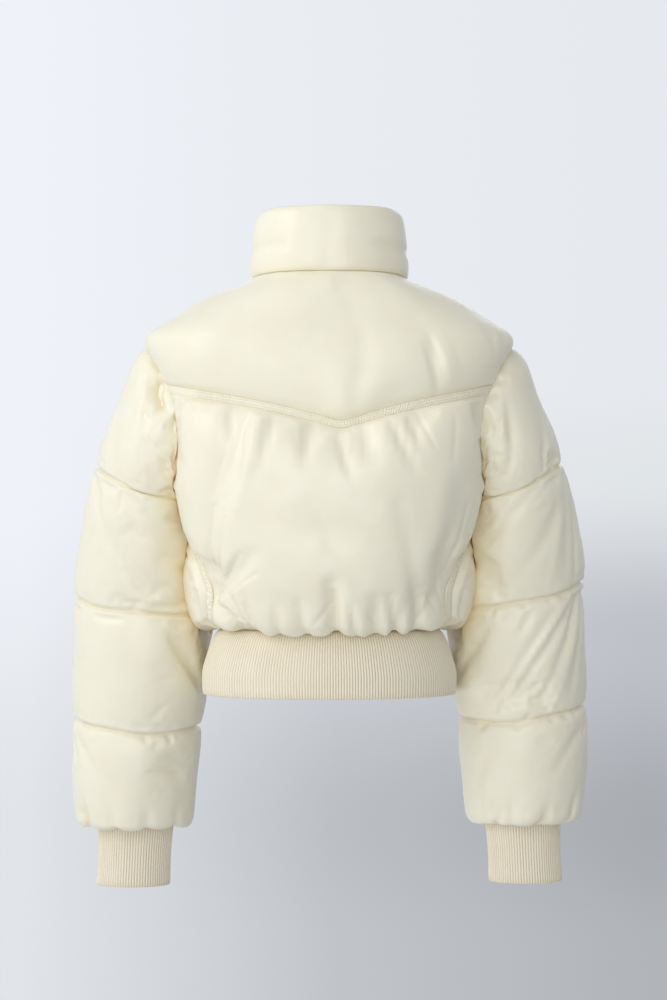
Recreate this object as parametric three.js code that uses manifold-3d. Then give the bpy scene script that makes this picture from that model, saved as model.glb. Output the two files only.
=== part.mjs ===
// A cropped puffer jacket, filled out with nobody in it.
// Millimetres. The origin is the middle of the neck opening at the height of the collar seam.
// +Z is up, +Y is the way the wearer faces and +X is the wearer's right.
import * as THREE from 'three';
import { mergeVertices } from 'three/addons/utils/BufferGeometryUtils.js';
import Module from 'manifold-3d';

const DEG = Math.PI / 180;

// Cloth and seams
const WALL = 3;
const SEAM_GAP = 0.4;
const BAND_LIFT = 0.4;
const BAND_THICKNESS = 1.2;
const BAND_INSET = 0.5;
const BAND_END_INSET = 3;

// Collar
const COLLAR_SEAM_Z = -6;
const COLLAR_HEIGHT_BACK = 71;
const COLLAR_HEIGHT_FRONT = 76;
const COLLAR_WALL = 4;
const COLLAR_LEAN = { middle: 3, side: 7 };
const COLLAR_PUFF = 4.5;
const COLLAR_CREASE = { height: 0.4, width: 0.13, depth: 3, from: 30 * DEG };
const NECK_DIP_POWER = 2.4;

// Body rings from the collar seam to the hem seam. "down" is measured from the collar seam at the
// centre back, "drop" is how much lower the ring is at the centre front, "square" is the exponent
// of its oval, and the rest are its half sizes at seam level, under the padding.
const BODY_RINGS = [
  { down: 0, drop: 38, side: 84, back: 70, front: 76, square: 2.1 },
  { down: 10, drop: 35.5, side: 98.5, back: 77, front: 82.6, square: 2.14 },
  { down: 24, drop: 32, side: 126, back: 86, front: 91, square: 2.2 },
  { down: 50, drop: 26, side: 164, back: 99, front: 103, square: 2.35 },
  { down: 74, drop: 18, side: 198, back: 107, front: 110, square: 2.55 },
  { down: 114, drop: 10, side: 186, back: 114, front: 116, square: 2.7 },
  { down: 164, drop: 4, side: 174, back: 118, front: 120, square: 2.7 },
  { down: 222, drop: 0, side: 161, back: 119, front: 121, square: 2.6 },
  { down: 294, drop: 0, side: 149, back: 115, front: 116, square: 2.5 },
  { down: 344, drop: 0, side: 144, back: 111, front: 112, square: 2.45 },
  { down: 374, drop: 0, side: 138, back: 106, front: 107, square: 2.35 },
  { down: 387, drop: 0, side: 118, back: 92, front: 92, square: 2.2 },
];
const HEM_DOWN = 387;

// Armhole: an oval on the body, by its top and bottom ring and its half depth
const ARMHOLE = { top: 74, bottom: 222, middleY: 6, halfDepth: 64 };
const ARMHOLE_BACK_CORNER = 69.4 * DEG;
const ARMHOLE_FRONT_CORNER = -50 * DEG;

// Yoke: V seam on the back, forward shoulder seam in front
const YOKE_TIP = { down: 166, across: 0.09, bend: 0.9, round: 0.04 };
const YOKE_END_DOWN = 122;
const YOKE_NECK_BACK = 58 * DEG;
const YOKE_NECK_FRONT = 118 * DEG;
const YOKE_PUFF = { back: 12, shoulder: 9, shoulderFrom: 0.35, shoulderTo: 0.75, neckFade: 0.5 };
const BAND_WIDTH_ANGLE = 6.2 * DEG;

// Side seams run back towards the hem. Turn is measured from the centre back.
const SIDE_SEAM = [
  { down: 222, turn: 92.2 },
  { down: 250, turn: 88 },
  { down: 278, turn: 81 },
  { down: 324, turn: 66 },
  { down: 346, turn: 62 },
  { down: 370, turn: 66 },
  { down: 387, turn: 73 },
];
const BACK_PUFF = 27;
const FRONT_PUFF = 22;

// Soft creases and gathers pressed into the back panel, each from one place to another by X and "down"
const BACK_CREASES = [
  { x0: -92, down0: 140, x1: -118, down1: 320, width: 17, depth: 7 },
  { x0: 128, down0: 235, x1: 112, down1: 330, width: 16, depth: 6 },
  { x0: -74, down0: 342, x1: -66, down1: 378, width: 13, depth: 8 },
  { x0: 3, down0: 338, x1: 8, down1: 378, width: 13, depth: 8 },
  { x0: 88, down0: 346, x1: 92, down1: 378, width: 13, depth: 7 },
];

// Sleeve rings: outer and inner ends of each ring as seen from behind, where its middle lies in Y,
// and its half depth. The right sleeve rides a little higher by the two lifts. "quilt" rows are
// sewn across, and the padding stands up between them.
const SLEEVE_RINGS = [
  { at: 0, outX: 198, outZ: -83, inX: 161, inZ: -228, y: 6, depth: 64, liftOut: 0, liftIn: 0 },
  { at: 18, outX: 207, outZ: -93, inX: 160, inZ: -231, y: 8, depth: 66, liftOut: 0, liftIn: 0 },
  { at: 60, outX: 222, outZ: -139, inX: 159, inZ: -240, y: 13, depth: 68, liftOut: 0, liftIn: 0 },
  { at: 140, outX: 254, outZ: -217, inX: 153, inZ: -256, y: 24, depth: 70, liftOut: 4, liftIn: 0 },
  { at: 210, outX: 268, outZ: -290, inX: 146, inZ: -318, y: 38, depth: 70, liftOut: 12, liftIn: 3 },
  { at: 275, outX: 279, outZ: -361, inX: 140, inZ: -374, y: 48, depth: 69, liftOut: 18, liftIn: 5 },
  { at: 340, outX: 278, outZ: -428, inX: 143, inZ: -437, y: 52, depth: 67, liftOut: 17, liftIn: 9 },
  { at: 405, outX: 281, outZ: -495, inX: 149, inZ: -504, y: 55, depth: 64, liftOut: 16, liftIn: 11 },
  { at: 470, outX: 280, outZ: -560, inX: 156, inZ: -563, y: 57, depth: 59, liftOut: 12, liftIn: 9 },
  { at: 504, outX: 277, outZ: -600, inX: 159, inZ: -601, y: 58, depth: 54, liftOut: 8, liftIn: 6 },
  { at: 520, outX: 258, outZ: -613, inX: 175, inZ: -614, y: 58, depth: 32, liftOut: 4, liftIn: 4 },
];
const QUILT_ROWS = [0, 140, 275, 405, 520];
const CHANNEL_STEPS = [6, 6, 6, 6];
const SLEEVE_PUFF = 6;
const SLEEVE_CLEARANCE = 4;
const LOOP_FADE = 120;

// The body's padding is full down to this level, and hangs this far below the hem seam.
const FULLEST_DOWN = 372;
const BILLOW = 15;

// Rib knit
const CUFF = { height: 67, endHalfWidth: 40.5, endHalfDepth: 31, ribs: 82, endShift: 3 };
const HEM_RIB = [
  { down: 0, side: 118, back: 92, front: 92 },
  { down: 6, side: 124, back: 97, front: 97 },
  { down: 30, side: 134, back: 105, front: 105 },
  { down: 52, side: 139, back: 109, front: 109 },
  { down: 71, side: 138.5, back: 109, front: 109 },
];
const HEM_RIB_ROWS = [0, 10, 45, 71];
const HEM_RIBS = 230;
const RIB_RAISE = 0.9;
const RIB_WALL = 2.6;

// Zip at the centre front
const ZIP_HALF = 4.5;
const TAPE = { from: 2.8, to: 4.3, low: -1.4, high: 0.2 };
const TEETH = { half: 2.5, low: -1.6, high: 0.9 };
const ZIP_TOP_INSET = 5;
const SLIDER = { width: 9, height: 13, thickness: 2.2, belowTop: 13, bridgeWidth: 2.4 };
const BRIDGE = { hole: 2, bar: 1.5 };
const PULL = { width: 7, length: 30, thickness: 1.4, barHalf: 0.9, slotHalf: 1.75, slotEnd: 4.3 };

// Grid steps. Steps that two pieces share along a seam are the same for both.
const BACK_COLUMNS = 28;
const YOKE_ROWS = 8;
const LOOP_STEPS = 10;
const SIDE_STEPS = 10;
const FRONT_COLUMNS = 14;
const FRONT_LAST_COLUMN = 0.036;
const COLLAR_COLUMNS = 32;
const COLLAR_ROWS = 8;

const PADDED = new THREE.MeshStandardMaterial({ color: 0xece8d9, roughness: 0.42, metalness: 0 });
const BAND = new THREE.MeshStandardMaterial({ color: 0xe9e4d2, roughness: 0.5, metalness: 0 });
const KNIT = new THREE.MeshStandardMaterial({ color: 0xdcd3c0, roughness: 0.9, metalness: 0 });
const TAPE_CLOTH = new THREE.MeshStandardMaterial({ color: 0xe2dccb, roughness: 0.8, metalness: 0 });
const TEETH_RESIN = new THREE.MeshStandardMaterial({ color: 0xe6e0cf, roughness: 0.35, metalness: 0 });
const METAL = new THREE.MeshStandardMaterial({ color: 0xc9c4b6, roughness: 0.35, metalness: 0.8 });

const mix = (a, b, f) => a + (b - a) * f;
const clamp01 = (f) => Math.min(1, Math.max(0, f));
const smooth = (from, to, value) => {
  const f = clamp01((value - from) / (to - from));
  return f * f * (3 - 2 * f);
};

// A smooth curve through one column of a table, with no overshoot between its rows.
function curveThrough(rows, key, column) {
  const xs = rows.map((row) => row[key]);
  const ys = rows.map((row) => row[column]);
  const slopes = xs.slice(1).map((x, i) => (ys[i + 1] - ys[i]) / (x - xs[i]));
  const tangents = xs.map((x, i) => {
    if (i === 0) return slopes[0];
    if (i === xs.length - 1) return slopes[i - 1];
    const [a, b] = [slopes[i - 1], slopes[i]];
    return a * b <= 0 ? 0 : (2 * a * b) / (a + b);
  });
  return (value) => {
    let i = 0;
    while (i < xs.length - 2 && value > xs[i + 1]) i += 1;
    const span = xs[i + 1] - xs[i];
    const f = clamp01((value - xs[i]) / span);
    const g = 1 - f;
    return ys[i] * g * g * (1 + 2 * f) + ys[i + 1] * f * f * (3 - 2 * f)
      + span * f * g * (g * tangents[i] - f * tangents[i + 1]);
  };
}

const curvesOf = (rows, key) => Object.fromEntries(
  Object.keys(rows[0]).filter((name) => name !== key)
    .map((name) => [name, curveThrough(rows, key, name)]),
);

const body = curvesOf(BODY_RINGS, 'down');
const sideSeamDegrees = curveThrough(SIDE_SEAM, 'down', 'turn');
const sideSeamTurn = (down) => sideSeamDegrees(down) * DEG;
const sleeve = curvesOf(SLEEVE_RINGS, 'at');
const hemRib = curvesOf(HEM_RIB, 'down');

const neckDip = (turn) => ((1 - Math.cos(turn)) / 2) ** NECK_DIP_POWER;

// Distance from the upright axis of an oval to its rim, in the direction of a turn.
function ovalRadius(turn, side, back, front, square) {
  const depth = Math.cos(turn) > 0 ? back : front;
  const across = Math.abs(Math.sin(turn)) / side;
  const along = Math.abs(Math.cos(turn)) / depth;
  return (across ** square + along ** square) ** (-1 / square);
}

function bodyPoint(down, turn) {
  const r = ovalRadius(turn, body.side(down), body.back(down), body.front(down), body.square(down));
  const z = COLLAR_SEAM_Z - down - body.drop(down) * neckDip(turn);
  return new THREE.Vector3(r * Math.sin(turn), -r * Math.cos(turn), z);
}

// Outward direction of a surface given by a function of two values.
function normalOf(surface, a, b, stepA, stepB) {
  const alongA = surface(a + stepA, b).sub(surface(a - stepA, b));
  const alongB = surface(a, b + stepB).sub(surface(a, b - stepB));
  return alongA.cross(alongB).normalize();
}

function bodyNormal(down, turn) {
  const inside = Math.min(HEM_DOWN - 1, Math.max(1, down));
  return normalOf(bodyPoint, inside, turn, 1, 0.01);
}

// The turn at which a body ring reaches a given Y, found by halving.
function turnAtY(down, y) {
  let [low, high] = [20 * DEG, 160 * DEG];
  for (let i = 0; i < 40; i += 1) {
    const middle = (low + high) / 2;
    if (bodyPoint(down, middle).y < y) low = middle;
    else high = middle;
  }
  return (low + high) / 2;
}

// A place on the armhole. The angle is 0 at its top, 90 degrees at the back, 180 at the underarm.
function armholeAt(angle) {
  const down = mix(ARMHOLE.top, ARMHOLE.bottom, (1 - Math.cos(angle)) / 2);
  return { down, turn: turnAtY(down, ARMHOLE.middleY - ARMHOLE.halfDepth * Math.sin(angle)) };
}

const steps = (count, from, to) => Array.from({ length: count + 1 }, (_, i) => mix(from, to, i / count));

const yokeAngles = steps(LOOP_STEPS, ARMHOLE_FRONT_CORNER, ARMHOLE_BACK_CORNER);
const backAngles = [
  ARMHOLE_BACK_CORNER,
  ...steps(LOOP_STEPS - 1, ARMHOLE_BACK_CORNER + BAND_WIDTH_ANGLE, Math.PI),
];
const frontAngles = steps(LOOP_STEPS, ARMHOLE_FRONT_CORNER, -Math.PI);
const sideLevels = steps(SIDE_STEPS, 0, 1)
  .map((f) => mix(ARMHOLE.bottom, HEM_DOWN, 0.75 * f + 0.25 * Math.sin((f * Math.PI) / 2)));

const backCorner = armholeAt(ARMHOLE_BACK_CORNER);
const frontCorner = armholeAt(ARMHOLE_FRONT_CORNER);

// Limits of the back panel at its side edges, then of the front panels, row by row.
const backEdges = [
  ...backAngles.map(armholeAt),
  ...sideLevels.slice(1).map((down) => ({ down, turn: sideSeamTurn(down) })),
];
const frontEdges = [
  ...steps(YOKE_ROWS, 0, 1).map((f) => ({
    down: frontCorner.down * f,
    turn: mix(YOKE_NECK_FRONT, frontCorner.turn, f),
  })),
  ...frontAngles.slice(1).map(armholeAt),
  ...sideLevels.slice(1).map((down) => ({ down, turn: sideSeamTurn(down) })),
];

// The V seam across the back, by the fraction from the left armhole (-1) to the right one (1).
function yokeSeamDown(across) {
  const reach = across < YOKE_TIP.across ? 1 + YOKE_TIP.across : 1 - YOKE_TIP.across;
  const f = Math.hypot((across - YOKE_TIP.across) / reach, YOKE_TIP.round);
  return mix(YOKE_TIP.down, YOKE_END_DOWN, clamp01(f) ** YOKE_TIP.bend);
}

// Padding height over a panel, by two fractions that run from 0 to 1 between its seams.
const lens = (f, power) => (1 - Math.abs(2 * clamp01(f) - 1) ** power) ** 0.6;

function creaseDepth(point, down, creases) {
  return creases.reduce((sum, crease) => {
    const run = crease.down1 - crease.down0;
    const f = clamp01((down - crease.down0) / run);
    const away = (point.x - mix(crease.x0, crease.x1, f)) / crease.width;
    const past = (down - mix(crease.down0, crease.down1, f)) / (2 * crease.width);
    return sum + crease.depth * Math.exp(-(away * away) - past * past);
  }, 0);
}

// Fraction of the back panel's length that lies under the yoke band, which stays flat.
const BAND_FALL = (backEdges[1].down - YOKE_END_DOWN) / (HEM_DOWN - YOKE_END_DOWN);

function backPuff(across, fall, point, down) {
  const f = (fall - BAND_FALL) / (1 - BAND_FALL);
  const height = BACK_PUFF * lens((across + 1) / 2, 3) * lens(f, 3.2);
  const fade = smooth(0, 8, height);
  return height - fade * creaseDepth(point, down, BACK_CREASES);
}

const frontPuff = (across, fall) => (
  FRONT_PUFF * lens(across / (1 - FRONT_LAST_COLUMN), 2.6) * lens(fall, 5));

// The yoke is flatter over the shoulders, and there it rises slowly from the collar seam.
function yokePuff(across, f) {
  const shoulder = smooth(YOKE_PUFF.shoulderFrom, YOKE_PUFF.shoulderTo, Math.abs(across));
  const height = mix(YOKE_PUFF.back, YOKE_PUFF.shoulder * smooth(0, YOKE_PUFF.neckFade, f), shoulder);
  return height * lens((across + 1) / 2, 8) * lens(f ** 1.15, 2.2);
}

// Closed solids from grids of points

class Builder {
  constructor() {
    this.positions = [];
    this.indices = [];
  }

  grid(rows) {
    return rows.map((row) => row.map((point) => {
      this.positions.push(point.x, point.y, point.z);
      return this.positions.length / 3 - 1;
    }));
  }

  triangle(a, b, c, flip) {
    if (flip) this.indices.push(a, c, b);
    else this.indices.push(a, b, c);
  }

  sheet(rows, closed, flip) {
    for (let r = 0; r + 1 < rows.length; r += 1) {
      const count = rows[r].length;
      const last = closed ? count : count - 1;
      for (let c = 0; c < last; c += 1) {
        const next = (c + 1) % count;
        this.triangle(rows[r][c], rows[r + 1][c], rows[r + 1][next], flip);
        this.triangle(rows[r][c], rows[r + 1][next], rows[r][next], flip);
      }
    }
  }

  // Joins two edges that may have different numbers of steps.
  rim(outer, inner, flip) {
    let [i, j] = [0, 0];
    const [m, n] = [outer.length - 1, inner.length - 1];
    while (i < m || j < n) {
      if (j === n || (i < m && (i + 1) / m <= (j + 1) / n + 1e-9)) {
        this.triangle(outer[i], outer[i + 1], inner[j], flip);
        i += 1;
      } else {
        this.triangle(outer[i], inner[j + 1], inner[j], flip);
        j += 1;
      }
    }
  }

  geometry() {
    const geometry = new THREE.BufferGeometry();
    geometry.setAttribute('position', new THREE.Float32BufferAttribute(this.positions, 3));
    geometry.setIndex(this.indices);
    geometry.computeVertexNormals();
    return geometry;
  }
}

// A closed wall between an outer and an inner grid. "flip" turns it where the rows run the other way.
function wallGeometry(outerRows, innerRows, closed, flip) {
  const builder = new Builder();
  const outer = builder.grid(outerRows);
  const inner = builder.grid(innerRows);
  builder.sheet(outer, closed, flip);
  builder.sheet(inner, closed, !flip);
  const wrap = (row) => (closed ? [...row, row[0]] : row);
  builder.rim(wrap(outer[0]), wrap(inner[0]), flip);
  builder.rim(wrap(outer.at(-1)), wrap(inner.at(-1)), !flip);
  if (!closed) {
    builder.rim(outer.map((row) => row[0]), inner.map((row) => row[0]), !flip);
    builder.rim(outer.map((row) => row.at(-1)), inner.map((row) => row.at(-1)), flip);
  }
  return builder.geometry();
}

const everyOther = (list) => list.filter((_, i) => i % 2 === 0);

// Moves the edge points of a grid back from its seams, within the cloth.
function setBack(grid, normals, closed, distance) {
  const moved = grid.map((row) => row.map((point) => point.clone()));
  const lastRow = grid.length - 1;
  const lastColumn = grid[0].length - 1;
  const shift = (r, c, before, after, inside) => {
    const away = normals[r][c].clone().cross(after.clone().sub(before)).normalize();
    if (away.dot(inside.clone().sub(grid[r][c])) < 0) away.negate();
    moved[r][c].addScaledVector(away, distance);
  };
  for (let c = 0; c <= lastColumn; c += 1) {
    const before = closed ? (c + lastColumn) % (lastColumn + 1) : Math.max(0, c - 1);
    const after = closed ? (c + 1) % (lastColumn + 1) : Math.min(lastColumn, c + 1);
    shift(0, c, grid[0][before], grid[0][after], grid[1][c]);
    shift(lastRow, c, grid[lastRow][before], grid[lastRow][after], grid[lastRow - 1][c]);
  }
  if (closed) return moved;
  for (let r = 0; r <= lastRow; r += 1) {
    const [before, after] = [grid[Math.max(0, r - 1)], grid[Math.min(lastRow, r + 1)]];
    shift(r, 0, before[0], after[0], grid[r][1]);
    shift(r, lastColumn, before[lastColumn], after[lastColumn], grid[r][lastColumn - 1]);
  }
  return moved;
}

// A padded panel on the body: places are rows of {down, turn}, heights the padding over each.
function bodyPanel(places, heights, flip) {
  const points = places.map((row) => row.map(({ down, turn }) => bodyPoint(down, turn)));
  const normals = places.map((row) => row.map(({ down, turn }) => bodyNormal(down, turn)));
  const base = setBack(points, normals, false, SEAM_GAP / 2);
  const lifted = (lift) => base.map((row, r) => row.map((point, c) => (
    point.clone().addScaledVector(normals[r][c], lift(r, c)))));
  const outer = lifted((r, c) => heights[r][c]);
  const inner = everyOther(lifted(() => -WALL)).map(everyOther);
  return { geometry: wallGeometry(outer, inner, false, flip), outer, normals };
}

// Draws the ends of a band's line of points inwards: less across its width than along its length.
function drawIn(line) {
  const distance = line.length > 2 ? BAND_END_INSET : BAND_INSET;
  const toward = (from, to) => (
    from.clone().addScaledVector(to.clone().sub(from).normalize(), distance));
  return [toward(line[0], line[1]), ...line.slice(1, -1), toward(line.at(-1), line.at(-2))];
}

const transpose = (rows) => rows[0].map((_, c) => rows.map((row) => row[c]));

// A band that lies on some rows or columns of a panel, made from its outer points.
function bandOn(outer, normals, flip) {
  const base = transpose(transpose(outer.map(drawIn)).map(drawIn));
  const lifted = (lift) => base.map((row, r) => row.map((point, c) => (
    point.clone().addScaledVector(normals[r][c], lift))));
  return wallGeometry(lifted(BAND_LIFT + BAND_THICKNESS), lifted(BAND_LIFT), false, flip);
}

const group = new THREE.Group();
function add(name, geometry, material) {
  const mesh = new THREE.Mesh(geometry, material);
  mesh.name = name;
  group.add(mesh);
  return mesh;
}

// Yoke: columns fan from the collar seam to the V seam and over both shoulders to the armholes
function yokeColumns() {
  const backPart = steps(BACK_COLUMNS, -1, 1).map((across) => ({
    neck: across * YOKE_NECK_BACK,
    end: { down: yokeSeamDown(across), turn: across * backCorner.turn },
  }));
  const shoulder = (sign) => yokeAngles.slice(0, -1).map((angle, i) => {
    const { down, turn } = armholeAt(angle);
    const neck = mix(YOKE_NECK_FRONT, YOKE_NECK_BACK, i / LOOP_STEPS);
    return { neck: sign * neck, end: { down, turn: sign * turn } };
  });
  return [...shoulder(-1), ...backPart, ...shoulder(1).reverse()];
}

function buildYoke() {
  const columns = yokeColumns();
  const rows = steps(YOKE_ROWS, 0, 1);
  const places = rows.map((f) => columns.map(({ neck, end }) => (
    { down: end.down * f, turn: mix(neck, end.turn, f) })));
  const count = columns.length - 1;
  const heights = rows.map((f) => columns.map((_, c) => yokePuff((2 * c) / count - 1, f)));
  return bodyPanel(places, heights, false);
}

// Back: rows start along the V seam and end at the hem seam
function buildBack() {
  const across = steps(BACK_COLUMNS, -1, 1);
  const places = backEdges.map((edge) => {
    const fall = (edge.down - YOKE_END_DOWN) / (HEM_DOWN - YOKE_END_DOWN);
    const even = mix(backCorner.turn, edge.turn, smooth(200, 300, edge.down));
    return across.map((u) => ({
      down: mix(yokeSeamDown(u), HEM_DOWN, fall),
      turn: u * even + (edge.turn - even) * Math.sign(u) * u ** 4,
      fall,
      u,
    }));
  });
  const heights = places.map((row) => row.map((place) => (
    backPuff(place.u, place.fall, bodyPoint(place.down, place.turn), place.down))));
  return bodyPanel(places, heights, false);
}

const zipEdgeTurn = (down) => Math.PI - ZIP_HALF / body.front(down);
const FRONT_EVEN_TURN = 104 * DEG;

// Front: rows run from the zip to the shoulder seam, the armhole and then the side seam
function buildFront(sign) {
  const columns = [...steps(FRONT_COLUMNS - 1, 0, 1 - FRONT_LAST_COLUMN), 1];
  const places = frontEdges.map((edge) => {
    const even = mix(FRONT_EVEN_TURN, edge.turn, smooth(ARMHOLE.bottom - 30, 300, edge.down));
    const zip = zipEdgeTurn(edge.down);
    return columns.map((u) => ({
      down: edge.down,
      turn: sign * (mix(zip, even, u) + (edge.turn - even) * u ** 4),
      u,
    }));
  });
  const heights = places.map((row) => row.map(({ u, down }) => frontPuff(u, down / HEM_DOWN)));
  return bodyPanel(places, heights, sign > 0);
}

const yoke = buildYoke();
const back = buildBack();
add('yoke', yoke.geometry, PADDED);
add('back', back.geometry, PADDED);
add('yoke_band', bandOn(back.outer.slice(0, 2), back.normals.slice(0, 2), false), BAND);

const sides = [{ name: 'left', sign: -1 }, { name: 'right', sign: 1 }];
for (const { name, sign } of sides) {
  const front = buildFront(sign);
  add(`front_${name}`, front.geometry, PADDED);
  const first = YOKE_ROWS + LOOP_STEPS + 1;
  const edge = (rows) => rows.slice(first).map((row) => row.slice(-2));
  add(`side_band_${name}`, bandOn(edge(front.outer), edge(front.normals), sign > 0), BAND);
}

// Collar: a padded stand round the neck, open at the centre front
function collarPoint(height, turn) {
  const start = bodyPoint(0, turn);
  const tall = mix(COLLAR_HEIGHT_BACK, COLLAR_HEIGHT_FRONT, neckDip(turn));
  const lean = mix(COLLAR_LEAN.middle, COLLAR_LEAN.side, Math.sin(turn) ** 2);
  const shrink = 1 - (lean * height) / Math.hypot(start.x, start.y);
  return new THREE.Vector3(start.x * shrink, start.y * shrink, start.z + tall * height);
}

function collarPuff(height, turn) {
  const away = (height - COLLAR_CREASE.height) / COLLAR_CREASE.width;
  const side = smooth(COLLAR_CREASE.from, COLLAR_CREASE.from + 20 * DEG, Math.abs(turn));
  const front = smooth(0, 12 * DEG, Math.PI - Math.abs(turn));
  const crease = COLLAR_CREASE.depth * side * Math.exp(-away * away);
  return front * (COLLAR_PUFF * lens(height, 2.4) - crease * smooth(0, 0.2, height));
}

function buildCollar() {
  const zip = zipEdgeTurn(0);
  const turns = steps(COLLAR_COLUMNS, -zip, zip);
  const heights = steps(COLLAR_ROWS, 1, 0);
  const points = heights.map((h) => turns.map((turn) => collarPoint(h, turn)));
  const normals = heights.map(() => turns.map((turn) => (
    new THREE.Vector3(Math.sin(turn), -Math.cos(turn), 0))));
  const base = setBack(points, normals, false, SEAM_GAP / 2);
  const outer = base.map((row, r) => row.map((point, c) => (
    point.clone().addScaledVector(normals[r][c], collarPuff(heights[r], turns[c])))));
  const inner = base.map((row, r) => row.map((point, c) => (
    point.clone().addScaledVector(normals[r][c], -COLLAR_WALL))));
  return wallGeometry(outer, everyOther(inner).map(everyOther), false, false);
}
add('collar', buildCollar(), PADDED);

// Sleeves

// The turns at which the back and front panels end on a body ring.
function panelLimits(down) {
  if (down >= ARMHOLE.bottom) return { backLimit: sideSeamTurn(down), frontLimit: sideSeamTurn(down) };
  const cosine = 1 - (2 * (down - ARMHOLE.top)) / (ARMHOLE.bottom - ARMHOLE.top);
  const reach = ARMHOLE.halfDepth * Math.sqrt(1 - cosine * cosine);
  return {
    backLimit: turnAtY(down, ARMHOLE.middleY - reach),
    frontLimit: turnAtY(down, ARMHOLE.middleY + reach),
  };
}

// Pushes a point of the sleeve out of the body, so that it lies beside it.
function clearOfBody(point, clearance) {
  const turn = Math.atan2(Math.abs(point.x), -point.y);
  let down = COLLAR_SEAM_Z - point.z;
  for (let i = 0; i < 3; i += 1) down = COLLAR_SEAM_Z - point.z - body.drop(down) * neckDip(turn);
  if (down > HEM_DOWN + BILLOW || down < ARMHOLE.top) return point;
  down = Math.min(down, FULLEST_DOWN);
  const skin = bodyPoint(down, turn);
  const { backLimit, frontLimit } = panelLimits(down);
  let puff = 0;
  if (turn < backLimit) {
    const fall = (down - YOKE_END_DOWN) / (HEM_DOWN - YOKE_END_DOWN);
    puff = backPuff(turn / backLimit, fall, skin, down);
  } else if (turn > frontLimit) {
    const zip = zipEdgeTurn(down);
    puff = frontPuff((zip - turn) / (zip - frontLimit), down / HEM_DOWN);
  }
  const needed = Math.hypot(skin.x, skin.y) + puff + clearance;
  const has = Math.hypot(point.x, point.y);
  if (has < needed) {
    point.x *= needed / has;
    point.y *= needed / has;
  }
  return point;
}

function sleeveOval(at, angle, lift) {
  const out = { x: sleeve.outX(at), z: sleeve.outZ(at) + lift * sleeve.liftOut(at) };
  const inn = { x: sleeve.inX(at), z: sleeve.inZ(at) + lift * sleeve.liftIn(at) };
  const f = (1 + Math.cos(angle)) / 2;
  const y = sleeve.y(at) - sleeve.depth(at) * Math.sin(angle);
  return new THREE.Vector3(mix(inn.x, out.x, f), y, mix(inn.z, out.z, f));
}

const loopAngles = [
  ...yokeAngles.slice(0, -1),
  ...backAngles.slice(0, -1),
  ...frontAngles.slice(1).reverse().map((angle) => angle + 2 * Math.PI),
];
const loopPoints = loopAngles.map((angle) => {
  const wrapped = angle > Math.PI ? angle - 2 * Math.PI : angle;
  const { down, turn } = armholeAt(wrapped);
  return bodyPoint(down, turn);
});

const sleeveLevels = QUILT_ROWS.slice(1).flatMap((end, i) => (
  steps(CHANNEL_STEPS[i], QUILT_ROWS[i], end).slice(i === 0 ? 0 : 1)));

function sleevePuff(at) {
  const channel = Math.max(0, QUILT_ROWS.findIndex((end) => at <= end) - 1);
  const f = (at - QUILT_ROWS[channel]) / (QUILT_ROWS[channel + 1] - QUILT_ROWS[channel]);
  return SLEEVE_PUFF * lens(f, 2.4);
}

function buildSleeve(sign) {
  const lift = sign > 0 ? 1 : 0;
  const skin = (at, c) => {
    const point = sleeveOval(at, loopAngles[c], lift);
    const fade = (1 - clamp01(at / LOOP_FADE)) ** 2;
    return point.addScaledVector(loopPoints[c].clone().sub(sleeveOval(0, loopAngles[c], lift)), fade);
  };
  const count = loopAngles.length;
  const grid = sleeveLevels.map((at) => loopAngles.map((_, c) => skin(at, c)));
  const normals = grid.map((row, r) => row.map((_, c) => {
    const [up, down] = [grid[Math.max(0, r - 1)][c], grid[Math.min(grid.length - 1, r + 1)][c]];
    const around = row[(c + 1) % count].clone().sub(row[(c + count - 1) % count]);
    return down.clone().sub(up).cross(around).normalize().negate();
  }));
  const base = setBack(grid, normals, true, SEAM_GAP / 2);
  const settle = (point, at) => clearOfBody(point, Math.min(SLEEVE_CLEARANCE, SEAM_GAP + at / 15));
  const outer = base.map((row, r) => row.map((point, c) => settle(
    point.clone().addScaledVector(normals[r][c], sleevePuff(sleeveLevels[r])), sleeveLevels[r])));
  const inner = everyOther(base.map((row, r) => row.map((point, c) => settle(
    point.clone(), sleeveLevels[r]).addScaledVector(normals[r][c], -WALL)))).map(everyOther);
  const place = (rows) => rows.map((row) => row.map((p) => new THREE.Vector3(sign * p.x, p.y, p.z)));
  return wallGeometry(place(outer), place(inner), true, sign > 0);
}

for (const { name, sign } of sides) add(`sleeve_${name}`, buildSleeve(sign), PADDED);

// Rib knit: every second column of the outer side is raised
function buildCuff(sign) {
  const lift = sign > 0 ? 1 : 0;
  const end = SLEEVE_RINGS.at(-1);
  const columns = CUFF.ribs * 2;
  const middle = (end.outX + end.inX) / 2;
  const topZ = (end.outZ + end.inZ) / 2 + (lift * (end.liftOut + end.liftIn)) / 2 - 1.2;
  const rows = [0, 0.5, 1];
  const ring = (f, raise, count) => Array.from({ length: count }, (_, c) => {
    const angle = (2 * Math.PI * c) / count;
    const grow = raise * (c % 2);
    const halfWidth = mix((end.outX - end.inX) / 2, CUFF.endHalfWidth, f) + grow;
    const halfDepth = mix(end.depth, CUFF.endHalfDepth, f) + grow;
    const x = middle + CUFF.endShift * f + halfWidth * Math.cos(angle);
    return new THREE.Vector3(sign * x, end.y - halfDepth * Math.sin(angle), topZ - CUFF.height * f);
  });
  const outer = rows.map((f) => ring(f, RIB_RAISE, columns));
  const inner = rows.map((f) => ring(f, 0, CUFF.ribs / 2).map((point) => {
    const axis = new THREE.Vector3(sign * (middle + CUFF.endShift * f), end.y, point.z);
    const away = point.clone().sub(axis);
    return point.addScaledVector(away, -RIB_WALL / away.length());
  }));
  return wallGeometry(outer, inner, true, sign > 0);
}

for (const { name, sign } of sides) add(`cuff_${name}`, buildCuff(sign), KNIT);

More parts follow.
